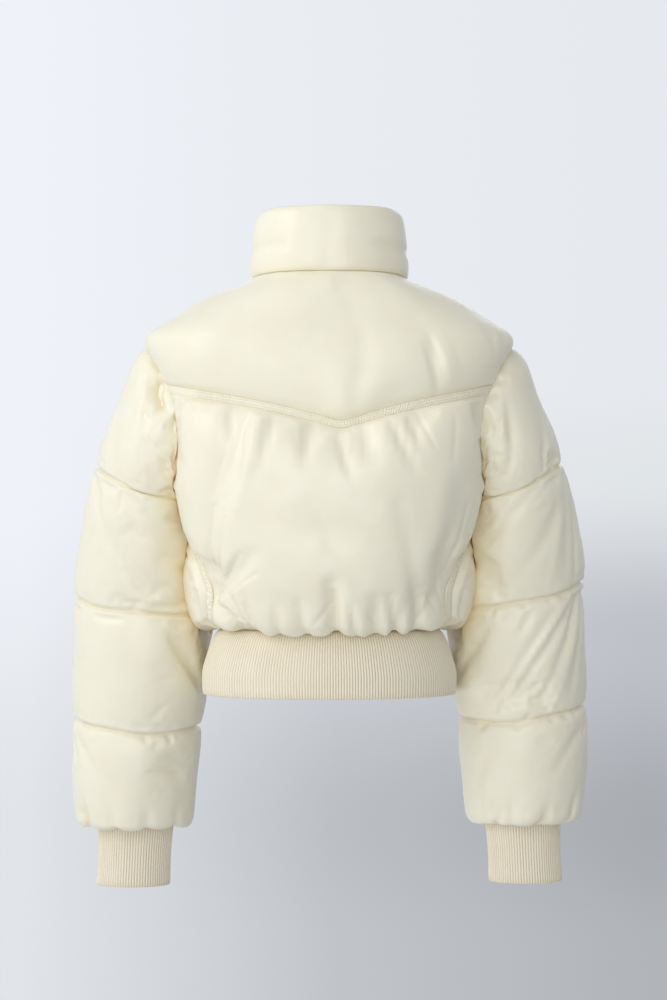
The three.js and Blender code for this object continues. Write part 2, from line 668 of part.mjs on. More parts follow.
function hemRibPoint(down, turn) {
  const r = ovalRadius(turn, hemRib.side(down), hemRib.back(down), hemRib.front(down), 2.2);
  const z = COLLAR_SEAM_Z - HEM_DOWN - down;
  return new THREE.Vector3(r * Math.sin(turn), -r * Math.cos(turn), z);
}

function buildHemRib() {
  const zip = (down) => Math.PI - (ZIP_HALF + SEAM_GAP / 2) / hemRib.front(down);
  const ring = (down, columns, lift) => steps(columns, -zip(down), zip(down)).map((turn, c) => {
    const point = hemRibPoint(down, turn);
    point.z -= down === 0 ? SEAM_GAP : 0;
    const away = new THREE.Vector3(Math.sin(turn), -Math.cos(turn), 0);
    return point.addScaledVector(away, lift(c));
  });
  const outer = HEM_RIB_ROWS.map((down) => ring(down, HEM_RIBS * 2, (c) => RIB_RAISE * (c % 2)));
  const inner = HEM_RIB_ROWS.map((down) => ring(down, HEM_RIBS / 5, () => -RIB_WALL));
  return wallGeometry(outer, inner, false, false);
}
add('hem_rib', buildHemRib(), KNIT);

// Zip
const collarFrontHeights = steps(4, 1 - ZIP_TOP_INSET / COLLAR_HEIGHT_FRONT, 0);
const zipPath = [
  ...collarFrontHeights.slice(0, -1).map((h) => collarPoint(h, Math.PI)),
  ...everyOther(frontEdges).map(({ down }) => bodyPoint(down, Math.PI)),
  ...HEM_RIB_ROWS.slice(1).map((down) => hemRibPoint(down, Math.PI)),
];
const zipNormals = zipPath.map((_, i) => {
  const along = zipPath[Math.min(zipPath.length - 1, i + 1)].clone().sub(zipPath[Math.max(0, i - 1)]);
  return new THREE.Vector3(0, -along.z, along.y).normalize();
});

// A strip of even section along the zip, between two X values and two heights over the path.
function zipStrip(fromX, toX, low, high) {
  const edge = (x, height) => zipPath.map((point, i) => {
    const moved = point.clone().addScaledVector(zipNormals[i], height);
    return new THREE.Vector3(x, moved.y, moved.z);
  });
  const pair = (height) => {
    const [first, second] = [edge(fromX, height), edge(toX, height)];
    return first.map((point, i) => [point, second[i]]);
  };
  return wallGeometry(pair(high), pair(low), false, true);
}

add('zip_tape_left', zipStrip(-TAPE.to, -TAPE.from, TAPE.low, TAPE.high), TAPE_CLOTH);
add('zip_tape_right', zipStrip(TAPE.from, TAPE.to, TAPE.low, TAPE.high), TAPE_CLOTH);
add('zip_teeth', zipStrip(-TEETH.half, TEETH.half, TEETH.low, TEETH.high), TEETH_RESIN);

// Slider and pull tab, drawn upright at the front of the collar
const sliderHeight = 1 - SLIDER.belowTop / COLLAR_HEIGHT_FRONT;
const sliderSeat = collarPoint(sliderHeight, Math.PI);
const plateY = sliderSeat.y + TEETH.high + 1;
const hinge = new THREE.Vector3(0, plateY + SLIDER.thickness + BRIDGE.hole, sliderSeat.z);

// An outline drawn in Y and Z, made into a bar that is centred on X.
function barAcross(shape, width) {
  const geometry = new THREE.ExtrudeGeometry(shape, { depth: width, bevelEnabled: false, curveSegments: 8 });
  geometry.rotateX(Math.PI / 2).rotateZ(Math.PI / 2).translate(-width / 2, 0, 0);
  return geometry;
}

const wasm = await Module();
wasm.setup();

function toSolid(geometry) {
  const bare = geometry.clone();
  bare.deleteAttribute('normal');
  bare.deleteAttribute('uv');
  const merged = mergeVertices(bare, 1e-4);
  return new wasm.Manifold(new wasm.Mesh({
    numProp: 3,
    vertProperties: new Float32Array(merged.getAttribute('position').array),
    triVerts: new Uint32Array(merged.getIndex().array),
  }));
}

function fromSolid(solid) {
  const mesh = solid.getMesh();
  const geometry = new THREE.BufferGeometry();
  geometry.setAttribute('position', new THREE.Float32BufferAttribute(mesh.vertProperties, 3));
  geometry.setIndex([...mesh.triVerts]);
  return geometry;
}

function buildSlider() {
  const plate = new THREE.BoxGeometry(SLIDER.width, SLIDER.thickness, SLIDER.height);
  plate.translate(0, plateY + SLIDER.thickness / 2, sliderSeat.z);
  const reach = BRIDGE.hole + BRIDGE.bar;
  const arch = new THREE.Shape();
  arch.absarc(0, 0, reach, -Math.PI / 2, Math.PI / 2);
  arch.lineTo(-BRIDGE.hole - 0.5, reach);
  arch.lineTo(-BRIDGE.hole - 0.5, BRIDGE.hole);
  arch.lineTo(0, BRIDGE.hole);
  arch.absarc(0, 0, BRIDGE.hole, Math.PI / 2, -Math.PI / 2, true);
  arch.lineTo(-BRIDGE.hole - 0.5, -BRIDGE.hole);
  arch.lineTo(-BRIDGE.hole - 0.5, -reach);
  const bridge = barAcross(arch, SLIDER.bridgeWidth).translate(0, hinge.y, hinge.z);
  return fromSolid(toSolid(plate).add(toSolid(bridge)));
}
add('zip_slider', buildSlider(), METAL);

function buildPull() {
  const half = PULL.width / 2;
  const outline = new THREE.Shape();
  outline.moveTo(-half, PULL.barHalf);
  outline.lineTo(-half, half - PULL.length);
  outline.absarc(0, half - PULL.length, half, Math.PI, 2 * Math.PI);
  outline.lineTo(half, PULL.barHalf);
  const slot = new THREE.Path();
  slot.moveTo(-PULL.slotHalf, -PULL.barHalf);
  slot.lineTo(PULL.slotHalf, -PULL.barHalf);
  slot.lineTo(PULL.slotHalf, -PULL.slotEnd);
  slot.lineTo(-PULL.slotHalf, -PULL.slotEnd);
  outline.holes.push(slot);
  const geometry = new THREE.ExtrudeGeometry(outline, {
    depth: PULL.thickness, bevelEnabled: false, curveSegments: 10,
  });
  return geometry.rotateX(Math.PI / 2).translate(0, PULL.thickness / 2, 0);
}
const pull = add('zip_pull', buildPull(), METAL);
pull.position.copy(hinge);

export default group;
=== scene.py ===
"""Looks of a cropped cream puffer jacket, filled out with nobody in it.

Sizes are in millimetres up to the meshes, which are in metres. The jacket's frame has its origin
in the middle of the neck opening, +Z up, +Y the way the wearer faces and +X the wearer's right.
"""

import math

import bpy
import numpy as np
from mathutils.kdtree import KDTree
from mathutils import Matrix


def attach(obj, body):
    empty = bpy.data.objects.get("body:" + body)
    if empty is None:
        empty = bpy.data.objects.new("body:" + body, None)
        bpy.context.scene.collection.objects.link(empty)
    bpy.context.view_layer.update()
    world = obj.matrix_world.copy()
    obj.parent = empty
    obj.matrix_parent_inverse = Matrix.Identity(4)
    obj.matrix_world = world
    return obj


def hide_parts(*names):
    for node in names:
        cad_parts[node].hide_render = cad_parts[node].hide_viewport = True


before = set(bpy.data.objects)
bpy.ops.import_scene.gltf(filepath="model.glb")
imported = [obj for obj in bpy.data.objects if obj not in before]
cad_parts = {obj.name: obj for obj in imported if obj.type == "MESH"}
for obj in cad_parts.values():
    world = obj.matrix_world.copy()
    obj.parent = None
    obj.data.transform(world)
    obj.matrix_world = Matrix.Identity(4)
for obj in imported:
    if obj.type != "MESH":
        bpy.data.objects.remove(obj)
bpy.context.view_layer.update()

DEG = math.pi / 180
MM = 0.001

# Cloth and seams
WALL = 3.0
SEAM_GAP = 0.12
STEP = 5.5

# Collar
COLLAR_SEAM_Z = -6.0
COLLAR_HEIGHT = {"back": 71.0, "front": 76.0}
COLLAR_WALL = 4.0
COLLAR_LEAN = {"middle": 3.0, "side": 7.0}
COLLAR_PUFF = 4.5
COLLAR_CREASE = {"height": 0.40, "width": 0.10, "depth": 2.8, "from": 30 * DEG}
NECK_DIP_POWER = 2.4

# Body rings, as the solids have them
BODY_RINGS = [
    {"down": 0, "drop": 38, "side": 84, "back": 70, "front": 76, "square": 2.1},
    {"down": 10, "drop": 35.5, "side": 98.5, "back": 77, "front": 82.6, "square": 2.14},
    {"down": 24, "drop": 32, "side": 126, "back": 86, "front": 91, "square": 2.2},
    {"down": 50, "drop": 26, "side": 164, "back": 99, "front": 103, "square": 2.35},
    {"down": 74, "drop": 18, "side": 198, "back": 107, "front": 110, "square": 2.55},
    {"down": 114, "drop": 10, "side": 186, "back": 114, "front": 116, "square": 2.7},
    {"down": 164, "drop": 4, "side": 174, "back": 118, "front": 120, "square": 2.7},
    {"down": 222, "drop": 0, "side": 161, "back": 119, "front": 121, "square": 2.6},
    {"down": 294, "drop": 0, "side": 149, "back": 115, "front": 116, "square": 2.5},
    {"down": 344, "drop": 0, "side": 144, "back": 111, "front": 112, "square": 2.45},
    {"down": 374, "drop": 0, "side": 138, "back": 106, "front": 107, "square": 2.35},
    {"down": 387, "drop": 0, "side": 118, "back": 92, "front": 92, "square": 2.2},
]
HEM_DOWN = 387.0

ARMHOLE = {"top": 74.0, "bottom": 222.0, "middle_y": 6.0, "half_depth": 64.0}
BACK_CORNER = 69.4 * DEG
FRONT_CORNER = -50 * DEG

YOKE_TIP = {"down": 166.0, "across": 0.09, "bend": 0.9, "round": 0.04}
YOKE_END_DOWN = 122.0
YOKE_NECK_BACK = 58 * DEG
YOKE_NECK_FRONT = 118 * DEG
YOKE_PUFF = {"back": 12.0, "shoulder": 9.0, "from": 0.35, "to": 0.75, "neck_fade": 0.5}
YOKE_COLUMNS = {"shoulder": 10, "back": 28}
BAND_ANGLE = 6.2 * DEG

SIDE_SEAM = [
    {"down": 222, "turn": 92.2},
    {"down": 250, "turn": 88},
    {"down": 278, "turn": 81},
    {"down": 324, "turn": 66},
    {"down": 346, "turn": 62},
    {"down": 370, "turn": 66},
    {"down": 387, "turn": 73},
]
BACK_PUFF = 27.0
FRONT_PUFF = 22.0
FRONT_LAST_COLUMN = 0.036
FRONT_EVEN_TURN = 104 * DEG
ZIP_HALF = 4.5

# Sleeve rings, as the solids have them
SLEEVE_KEYS = ("at", "out_x", "out_z", "in_x", "in_z", "y", "depth", "lift_out", "lift_in")
SLEEVE_RINGS = [dict(zip(SLEEVE_KEYS, row)) for row in (
    (0, 198, -83, 161, -228, 6, 64, 0, 0),
    (18, 207, -93, 160, -231, 8, 66, 0, 0),
    (60, 222, -139, 159, -240, 13, 68, 0, 0),
    (140, 254, -217, 153, -256, 24, 70, 4, 0),
    (210, 268, -290, 146, -318, 38, 70, 12, 3),
    (275, 279, -361, 140, -374, 48, 69, 18, 5),
    (340, 278, -428, 143, -437, 52, 67, 17, 9),
    (405, 281, -495, 149, -504, 55, 64, 16, 11),
    (470, 280, -560, 156, -563, 57, 59, 12, 9),
    (504, 277, -600, 159, -601, 58, 54, 8, 6),
    (520, 258, -613, 175, -614, 58, 32, 4, 4),
)]
QUILT_ROWS = (0, 140, 275, 405, 520)
SLEEVE_PUFF = 6.0
SLEEVE_CLEARANCE = -2.2
LOOP_FADE = 120.0
# How far the sewn rows sag at the middle of a sleeve's back, and how far its end hangs over the cuff
SLEEVE_SAG = [
    {"at": 0, "sag": 0},
    {"at": 60, "sag": 4},
    {"at": 140, "sag": 7},
    {"at": 275, "sag": 9},
    {"at": 405, "sag": 9},
    {"at": 470, "sag": 6},
    {"at": 520, "sag": 0},
]
SLEEVE_OVERHANG = {"from": 480.0, "drop": 8.0}
HEM_OVERHANG = {"from": 345.0, "drop": 6.0}
FULLEST_DOWN = 372.0
BILLOW = 42.0
DRAWN_IN = 13.0

# Rib knit
CUFF = {"height": 67.0, "end_half_width": 40.5, "end_half_depth": 31.0, "end_shift": 3.0}
HEM_RIB = [
    {"down": 0, "side": 118, "back": 92, "front": 92},
    {"down": 6, "side": 124, "back": 97, "front": 97},
    {"down": 30, "side": 134, "back": 105, "front": 105},
    {"down": 52, "side": 139, "back": 109, "front": 109},
    {"down": 71, "side": 138.5, "back": 109, "front": 109},
]
HEM_RIB_HEIGHT = 71.0
HEM_RIBS = 230
CUFF_RIBS = 82
RIB_RAISE = 0.9
RIB_WALL = 2.6


def curve(rows, key, column):
    """A smooth curve through one column of a table, with no overshoot between its rows."""
    xs = np.array([row[key] for row in rows], float)
    ys = np.array([row[column] for row in rows], float)
    slopes = np.diff(ys) / np.diff(xs)
    before, after = slopes[:-1], slopes[1:]
    both = before * after
    inner = np.where(both > 0, 2 * both / np.where(both > 0, before + after, 1), 0)
    tangents = np.concatenate([slopes[:1], inner, slopes[-1:]])

    def at(value):
        i = np.clip(np.searchsorted(xs, value) - 1, 0, len(xs) - 2)
        span = xs[i + 1] - xs[i]
        f = np.clip((value - xs[i]) / span, 0, 1)
        g = 1 - f
        ends = ys[i] * g * g * (1 + 2 * f) + ys[i + 1] * f * f * (3 - 2 * f)
        return ends + span * f * g * (g * tangents[i] - f * tangents[i + 1])

    return at


def curves(rows, key):
    return {name: curve(rows, key, name) for name in rows[0] if name != key}


body = curves(BODY_RINGS, "down")
side_degrees = curve(SIDE_SEAM, "down", "turn")
sleeve = curves(SLEEVE_RINGS, "at")
sleeve_sag = curve(SLEEVE_SAG, "at", "sag")
hem_rib = curves(HEM_RIB, "down")


def mix(a, b, f):
    return a + (b - a) * f


def smooth(start, end, value):
    f = np.clip((value - start) / (end - start), 0, 1)
    return f * f * (3 - 2 * f)


def unit(vectors):
    return vectors / np.maximum(np.linalg.norm(vectors, axis=-1, keepdims=True), 1e-9)


def side_turn(down):
    return side_degrees(down) * DEG


def neck_dip(turn):
    return ((1 - np.cos(turn)) / 2) ** NECK_DIP_POWER


def oval_radius(turn, side, back, front, square):
    depth = np.where(np.cos(turn) > 0, back, front)
    across = np.abs(np.sin(turn)) / side
    along = np.abs(np.cos(turn)) / depth
    return (across ** square + along ** square) ** (-1 / square)


def body_point(down, turn):
    r = oval_radius(turn, body["side"](down), body["back"](down), body["front"](down), body["square"](down))
    z = COLLAR_SEAM_Z - down - body["drop"](down) * neck_dip(turn)
    return np.stack([r * np.sin(turn), -r * np.cos(turn), z + 0 * r], axis=-1)


def body_normal(down, turn):
    inside = np.clip(down, 1, HEM_DOWN - 1)
    along = body_point(inside + 1, turn) - body_point(inside - 1, turn)
    around = body_point(inside, turn + 0.01) - body_point(inside, turn - 0.01)
    return unit(np.cross(along, around))


def turn_at_y(down, y):
    """The turn at which a body ring reaches a given Y, found by halving."""
    low = np.full(np.shape(down), 20 * DEG)
    high = np.full(np.shape(down), 160 * DEG)
    for _ in range(30):
        middle = (low + high) / 2
        short = body_point(down, middle)[..., 1] < y
        low = np.where(short, middle, low)
        high = np.where(short, high, middle)
    return (low + high) / 2


def armhole_at(angle):
    down = mix(ARMHOLE["top"], ARMHOLE["bottom"], (1 - np.cos(angle)) / 2)
    return down, turn_at_y(down, ARMHOLE["middle_y"] - ARMHOLE["half_depth"] * np.sin(angle))


def yoke_seam_down(across):
    tip = YOKE_TIP["across"]
    reach = np.where(across < tip, 1 + tip, 1 - tip)
    f = np.hypot((across - tip) / reach, YOKE_TIP["round"])
    return mix(YOKE_TIP["down"], YOKE_END_DOWN, np.clip(f, 0, 1) ** YOKE_TIP["bend"])


def zip_turn(down):
    return math.pi - ZIP_HALF / body["front"](down)


def lens(f, power):
    """Padding height over a fraction that runs from seam to seam."""
    return np.clip(1 - np.abs(2 * np.clip(f, 0, 1) - 1) ** power, 0, 1) ** 0.6


def hashed(ix, iy, iz, seed):
    value = np.sin(ix * 127.1 + iy * 311.7 + iz * 74.7 + seed * 53.3) * 43758.5453
    return value - np.floor(value)


def noise(points, cell, seed):
    """Smooth noise from -1 to 1 in space, with the given cell size."""
    scaled = points / cell
    base = np.floor(scaled)
    f = scaled - base
    f = f * f * (3 - 2 * f)
    total = 0
    for dx in (0, 1):
        for dy in (0, 1):
            for dz in (0, 1):
                weight = (
                    np.where(dx, f[..., 0], 1 - f[..., 0])
                    * np.where(dy, f[..., 1], 1 - f[..., 1])
                    * np.where(dz, f[..., 2], 1 - f[..., 2])
                )
                x, y, z = base[..., 0] + dx, base[..., 1] + dy, base[..., 2] + dz
                total = total + weight * hashed(x, y, z, seed)
    return 2 * total - 1


# Creases and folds pressed into the cloth. Each runs between two places, given by X and by "down"
# or by the way along a sleeve, and is as wide and deep as the photograph shows. A negative depth
# is a soft ridge.
CREASE_KEYS = ("x0", "down0", "x1", "down1", "width", "depth")
BACK_CREASES = [
    dict(zip(CREASE_KEYS, row)) for row in (
        (-92, 140, -118, 320, 15, 6.5),
        (-70, 150, -104, 300, 12, -2.5),
        (128, 235, 112, 330, 14, 5.5),
        (112, 215, 98, 320, 11, -2.0),
        (120, 322, 104, 356, 8, 4.0),
        (3, 334, 8, 380, 9, 8.0),
        (46, 348, 48, 380, 8, 5.0),
        (88, 342, 92, 380, 10, 7.0),
        (-20, 168, -26, 205, 9, 2.4),
        (34, 164, 42, 200, 10, 2.4),
        (78, 150, 90, 190, 10, 2.0),
        (-120, 200, -60, 232, 13, 1.6),
        (40, 230, 100, 262, 15, 1.5),
        (-60, 262, 10, 282, 17, 1.5),
        (-120, 350, -74, 302, 9, 3.6),
        (-121, 350, -108, 285, 9, 3.4),
        (-118, 356, -80, 385, 6, 4.0),
        (-84, 150, -92, 240, 7, 2.2),
        (-72, 160, -80, 225, 6, -1.3),
        (-58, 166, -66, 215, 5, 1.4),
        (60, 152, 84, 215, 6, 1.6),
        (-98, 348, -76, 384, 5, 6.0),
        (-106, 354, -90, 386, 5, 4.5),
        (-86, 340, -70, 378, 5, 4.0),
        (-48, 346, -30, 360, 7, 1.8),
        (-30, 352, -22, 382, 6, 3.6),
        (-52, 356, -50, 382, 5, 2.8),
        (22, 356, 30, 382, 5, 3.4),
        (60, 346, 70, 382, 6, 4.4),
        (74, 352, 66, 384, 5, 3.0),
        (10, 180, 22, 222, 6, 1.2),
        (-20, 250, 30, 330, 10, 1.6),
        (70, 250, 84, 340, 9, 1.8),
    )
]

# Crisp creases, narrower than the simulated cloth can hold
BACK_FINE_CREASES = [
    dict(zip(CREASE_KEYS, row)) for row in (
        (-123, 350, -111, 250, 2.6, 2.4),
        (-121, 350, -99, 262, 2.6, 2.0),
        (-120, 351, -86, 300, 2.6, 2.2),
        (-119, 353, -70, 322, 2.8, 1.8),
        (-119, 356, -88, 366, 2.6, 1.8),
        (-126, 350, -142, 318, 2.4, 1.6),
        (-127, 354, -150, 344, 2.4, 1.4),
        (-104, 230, -84, 158, 3.0, 1.3),
        (-112, 236, -98, 168, 3.0, 1.1),
        (-146, 134, -160, 152, 2.6, 1.6),
        (-146, 133, -168, 141, 2.6, 1.4),
        (-144, 135, -132, 158, 2.6, 1.0),
        (122, 318, 134, 248, 2.6, 2.0),
        (126, 300, 146, 238, 2.6, 1.2),
        (118, 352, 108, 318, 2.6, 1.4),
        (114, 362, 96, 338, 2.8, 1.3),
        (-82, 352, -72, 378, 2.6, 2.0),
        (6, 340, 9, 374, 2.6, 2.0),
        (2, 352, -16, 368, 2.6, 1.2),
        (100, 356, 88, 374, 2.6, 1.6),
        (40, 360, 56, 374, 2.6, 1.2),
        (12, 160, 26, 174, 2.4, 0.9),
        (92, 152, 104, 190, 2.8, 1.1),
        (128, 160, 120, 204, 2.8, 0.9),
    )
]


def crease_depth(x, down, creases):
    total = np.zeros(np.shape(x))
    for crease in creases:
        run_x = crease["x1"] - crease["x0"]
        run_down = crease["down1"] - crease["down0"]
        length2 = run_x ** 2 + run_down ** 2
        f = np.clip(((x - crease["x0"]) * run_x + (down - crease["down0"]) * run_down) / length2, 0, 1)
        away = np.hypot(x - crease["x0"] - run_x * f, down - crease["down0"] - run_down * f)
        taper = 0.35 + 0.65 * np.sin(math.pi * np.clip(0.1 + 0.8 * f, 0, 1))
        total += crease["depth"] * taper * np.exp(-(away / crease["width"]) ** 2)
    return total


BAND_FALL = float((armhole_at(BACK_CORNER + BAND_ANGLE)[0] - YOKE_END_DOWN) / (HEM_DOWN - YOKE_END_DOWN))


def back_puff(across, fall, x, down):
    f = (fall - BAND_FALL) / (1 - BAND_FALL)
    height = BACK_PUFF * lens((across + 1) / 2, 3) * lens(f, 3.2)
    return height - smooth(0, 8, height) * crease_depth(x, down, BACK_CREASES)


FRONT_CREASES = [
    dict(zip(CREASE_KEYS, row)) for row in (
        (30, 345, 34, 380, 9, 6.5),
        (58, 352, 60, 380, 7, 4.5),
        (86, 340, 90, 380, 9, 6.0),
        (112, 352, 112, 380, 7, 4.0),
        (40, 120, 70, 190, 13, 2.6),
        (120, 150, 90, 240, 14, 4.0),
        (36, 230, 80, 268, 15, 2.0),
        (110, 262, 70, 320, 13, 2.6),
    )
]


def front_puff(across, fall, x, down):
    height = FRONT_PUFF * lens(across / (1 - FRONT_LAST_COLUMN), 2.6) * lens(fall, 5)
    return height - smooth(0, 8, height) * crease_depth(x, down, FRONT_CREASES)


class Panel:
    """A padded piece: base points at seam level, their outward normals and the padding heights."""

    def __init__(self, name, base, normals, puff, closed=False, quilt_rows=()):
        self.name = name
        self.base = base
        self.normals = normals
        self.closed = closed
        self.start = base + normals * puff[..., None]
        self.outer = self.start.copy()
        pins = np.zeros(base.shape[:2], bool)
        for row in (0, -1, *quilt_rows):
            pins[row] = True
        if not closed:
            pins[:, [0, -1]] = True
        self.pins = pins
        self.give = np.ones(base.shape[:2])
        self.calm = 0
        self.finer = 4
        self.finer_across = None
        self.quilt = []
        self.flat_rows = 0
        self.band_from = None
        # Painted shade in crevices between pieces and in a sleeve's deepest dents
        self.crevice_shade = np.zeros(base.shape[:2])
        self.dent_shade = 0
        self.where = None
        self.fine_creases = ()


def set_back(grid, normals, closed, distance):
    """Moves the edge points of a grid back from its seams, within the cloth."""
    moved = grid.copy()

    def shift(target, points, before, after, inside, normal):
        away = unit(np.cross(normal, after - before))
        side = np.sign(np.sum(away * (inside - points), axis=-1, keepdims=True))
        target += away * side * distance

    def neighbours(line):
        if closed:
            return np.roll(line, 1, axis=0), np.roll(line, -1, axis=0)
        return np.concatenate([line[:1], line[:-1]]), np.concatenate([line[1:], line[-1:]])

    for row, inside in ((0, 1), (-1, -2)):
        before, after = neighbours(grid[row])
        shift(moved[row], grid[row], before, after, grid[inside], normals[row])
    if not closed:
        for column, inside in ((0, 1), (-1, -2)):
            line = grid[:, column]
            before = np.concatenate([line[:1], line[:-1]])
            after = np.concatenate([line[1:], line[-1:]])
            shift(moved[:, column], line, before, after, grid[:, inside], normals[:, column])
    return moved


def body_panel(name, down, turn, puff):
    normals = body_normal(down, turn)
    base = set_back(body_point(down, turn), normals, False, SEAM_GAP / 2)
    return Panel(name, base, normals, puff)


def overhang(panel, down):
    """Lets the padding hang over the hem seam."""
    f = np.clip((down - HEM_OVERHANG["from"]) / (HEM_DOWN - HEM_OVERHANG["from"]), 0, 1)
    full = smooth(0, 10, np.linalg.norm(panel.start - panel.base, axis=-1))
    panel.start[..., 2] -= HEM_OVERHANG["drop"] * np.sin(math.pi * f ** 1.5) * full
    panel.outer = panel.start.copy()


def even_count(length):
    return 2 * max(2, round(length / STEP / 2))


YOKE_CREASES = [
    dict(zip(CREASE_KEYS, row)) for row in (
        (104, 78, 114, 128, 6, 2.6),
        (118, 84, 130, 122, 7, -1.4),
        (172, 44, 186, 86, 5, 1.8),
        (160, 52, 176, 96, 5, 1.2),
        (-150, 64, -168, 96, 9, 1.6),
        (-60, 24, -90, 64, 16, 1.0),
        (10, 12, 30, 12, 6, 1.2),
    )
]


def make_yoke():
    rows = even_count(125)
    back_steps = even_count(330)
    shoulder_steps = even_count(140)
    across = np.linspace(-1, 1, back_steps + 1)
    corner_turn = armhole_at(BACK_CORNER)[1]
    angles = np.linspace(FRONT_CORNER, BACK_CORNER, shoulder_steps + 1)[:-1]
    down, turn = armhole_at(angles)
    neck = mix(YOKE_NECK_FRONT, YOKE_NECK_BACK, np.arange(shoulder_steps) / shoulder_steps)
    end_down = np.concatenate([down, yoke_seam_down(across), down[::-1]])
    end_turn = np.concatenate([-turn, across * corner_turn, turn[::-1]])
    neck_turn = np.concatenate([-neck, across * YOKE_NECK_BACK, neck[::-1]])
    f = np.linspace(0, 1, rows + 1)[:, None]
    # The solid's columns are spaced by place along the edge, and its padding follows that place
    first, last = YOKE_COLUMNS["shoulder"], YOKE_COLUMNS["shoulder"] + YOKE_COLUMNS["back"]
    total = last + YOKE_COLUMNS["shoulder"]
    place = np.concatenate([
        np.linspace(0, first, shoulder_steps + 1)[:-1],
        np.linspace(first, last, back_steps + 1),
        np.linspace(last, total, shoulder_steps + 1)[1:],
    ]) / total
    shoulder = smooth(YOKE_PUFF["from"], YOKE_PUFF["to"], np.abs(2 * place - 1))[None]
    height = mix(YOKE_PUFF["back"], YOKE_PUFF["shoulder"] * smooth(0, YOKE_PUFF["neck_fade"], f), shoulder)
    puff = height * lens(place, 4)[None] * lens(f ** 1.15, 2.2)
    down = end_down[None] * f
    turn = mix(neck_turn[None], end_turn[None], f)
    x = body_point(down, turn)[..., 0]
    puff = puff - smooth(0, 6, puff) * crease_depth(x, down, YOKE_CREASES)
    panel = body_panel("yoke", down, turn, puff)
    panel.give *= 0.4
    panel.calm = 6
    panel.finer_across = 6
    return panel


def make_back():
    columns = even_count(330)
    across = np.linspace(-1, 1, columns + 1)[None]
    band = armhole_at(BACK_CORNER + BAND_ANGLE)[0]
    angles = np.linspace(BACK_CORNER + BAND_ANGLE, math.pi, even_count(110) + 1)
    arm_down, arm_turn = armhole_at(angles)
    first_down, first_turn = armhole_at(np.array([BACK_CORNER, BACK_CORNER + BAND_ANGLE / 2]))
    side = np.linspace(ARMHOLE["bottom"], HEM_DOWN, even_count(170) + 1)[1:]
    edge_down = np.concatenate([first_down, arm_down, side])[:, None]
    edge_turn = np.concatenate([first_turn, arm_turn, side_turn(side)])[:, None]
    fall = (edge_down - YOKE_END_DOWN) / (HEM_DOWN - YOKE_END_DOWN)
    corner_turn = armhole_at(BACK_CORNER)[1]
    even = mix(corner_turn, edge_turn, smooth(200, 300, edge_down))
    inner_fall = np.concatenate([fall[:2], np.linspace(float(fall[2, 0]), 1, len(fall) - 2)[:, None]])
    fall = mix(inner_fall, fall, across ** 4)
    down = mix(yoke_seam_down(across), HEM_DOWN, fall)
    turn = across * even + (edge_turn - even) * np.sign(across) * across ** 4
    x = body_point(down, turn)[..., 0]
    puff = back_puff(across, fall, x, down)
    panel = body_panel("back", down, turn, puff)
    panel.where = np.stack([x, down], axis=-1)
    panel.fine_creases = BACK_FINE_CREASES
    panel.pins[:3] = True
    panel.calm = 1
    panel.flat_rows = 2
    overhang(panel, down)
    return panel


def make_front(sign):
    inner = np.linspace(0, 1 - FRONT_LAST_COLUMN, even_count(200))
    columns = np.concatenate([inner, [1 - FRONT_LAST_COLUMN / 2, 1]])[None]
    corner_down, corner_turn = armhole_at(FRONT_CORNER)
    f = np.linspace(0, 1, even_count(115) + 1)
    arm_down, arm_turn = armhole_at(np.linspace(FRONT_CORNER, -math.pi, even_count(150) + 1))
    side = np.linspace(ARMHOLE["bottom"], HEM_DOWN, even_count(170) + 1)[1:]
    edge_down = np.concatenate([corner_down * f, arm_down[1:], side])[:, None]
    neck_to_corner = mix(YOKE_NECK_FRONT, corner_turn, f)
    edge_turn = np.concatenate([neck_to_corner, arm_turn[1:], side_turn(side)])[:, None]
    even = mix(FRONT_EVEN_TURN, edge_turn, smooth(ARMHOLE["bottom"] - 30, 300, edge_down))
    down = mix(np.linspace(0, HEM_DOWN, len(edge_down))[:, None], edge_down, columns ** 4)
    turn = mix(zip_turn(down), even, columns) + (edge_turn - even) * columns ** 4
    x = body_point(down, turn)[..., 0]
    puff = front_puff(columns, down / HEM_DOWN, x, down)
    panel = body_panel("front_" + ("right" if sign > 0 else "left"), down, sign * turn, puff)
    panel.band_from = len(f) + len(arm_down) - 2
    panel.pins[panel.band_from:, -3:] = True
    panel.finer = 3
    overhang(panel, down)
    return panel


def collar_point(height, turn):
    start = body_point(0.0, turn)
    tall = mix(COLLAR_HEIGHT["back"], COLLAR_HEIGHT["front"], neck_dip(turn))
    lean = mix(COLLAR_LEAN["middle"], COLLAR_LEAN["side"], np.sin(turn) ** 2)
    shrink = 1 - lean * height / np.hypot(start[..., 0], start[..., 1])
    x, y, z = start[..., 0] * shrink, start[..., 1] * shrink, start[..., 2] + tall * height
    return np.stack([x, y, z], axis=-1)


def make_collar():
    edge = float(zip_turn(0.0))
    turn = np.linspace(-edge, edge, even_count(500) + 1)[None]
    height = np.linspace(1, 0, even_count(78) + 1)[:, None]
    base = collar_point(height + 0 * turn, turn + 0 * height)
    base[..., 2] += 1.1 * line_noise(85 * turn, 34, 4) * smooth(0.5, 1, height)
    outward = np.stack([np.sin(turn), -np.cos(turn), 0 * turn], axis=-1)
    normals = np.broadcast_to(outward, base.shape).copy()
    base = set_back(base, normals, False, SEAM_GAP / 2)
    away = (height - COLLAR_CREASE["height"]) / COLLAR_CREASE["width"]
    aside = smooth(COLLAR_CREASE["from"], COLLAR_CREASE["from"] + 20 * DEG, np.abs(turn))
    front = smooth(0, 12 * DEG, math.pi - np.abs(turn))
    crease = COLLAR_CREASE["depth"] * aside * np.exp(-away * away) * smooth(0, 0.2, height)
    puff = front * (COLLAR_PUFF * lens(height, 2.4) - crease)
    panel = Panel("collar", base, normals, puff)
    panel.give *= 0.55
    panel.calm = 5
    return panel


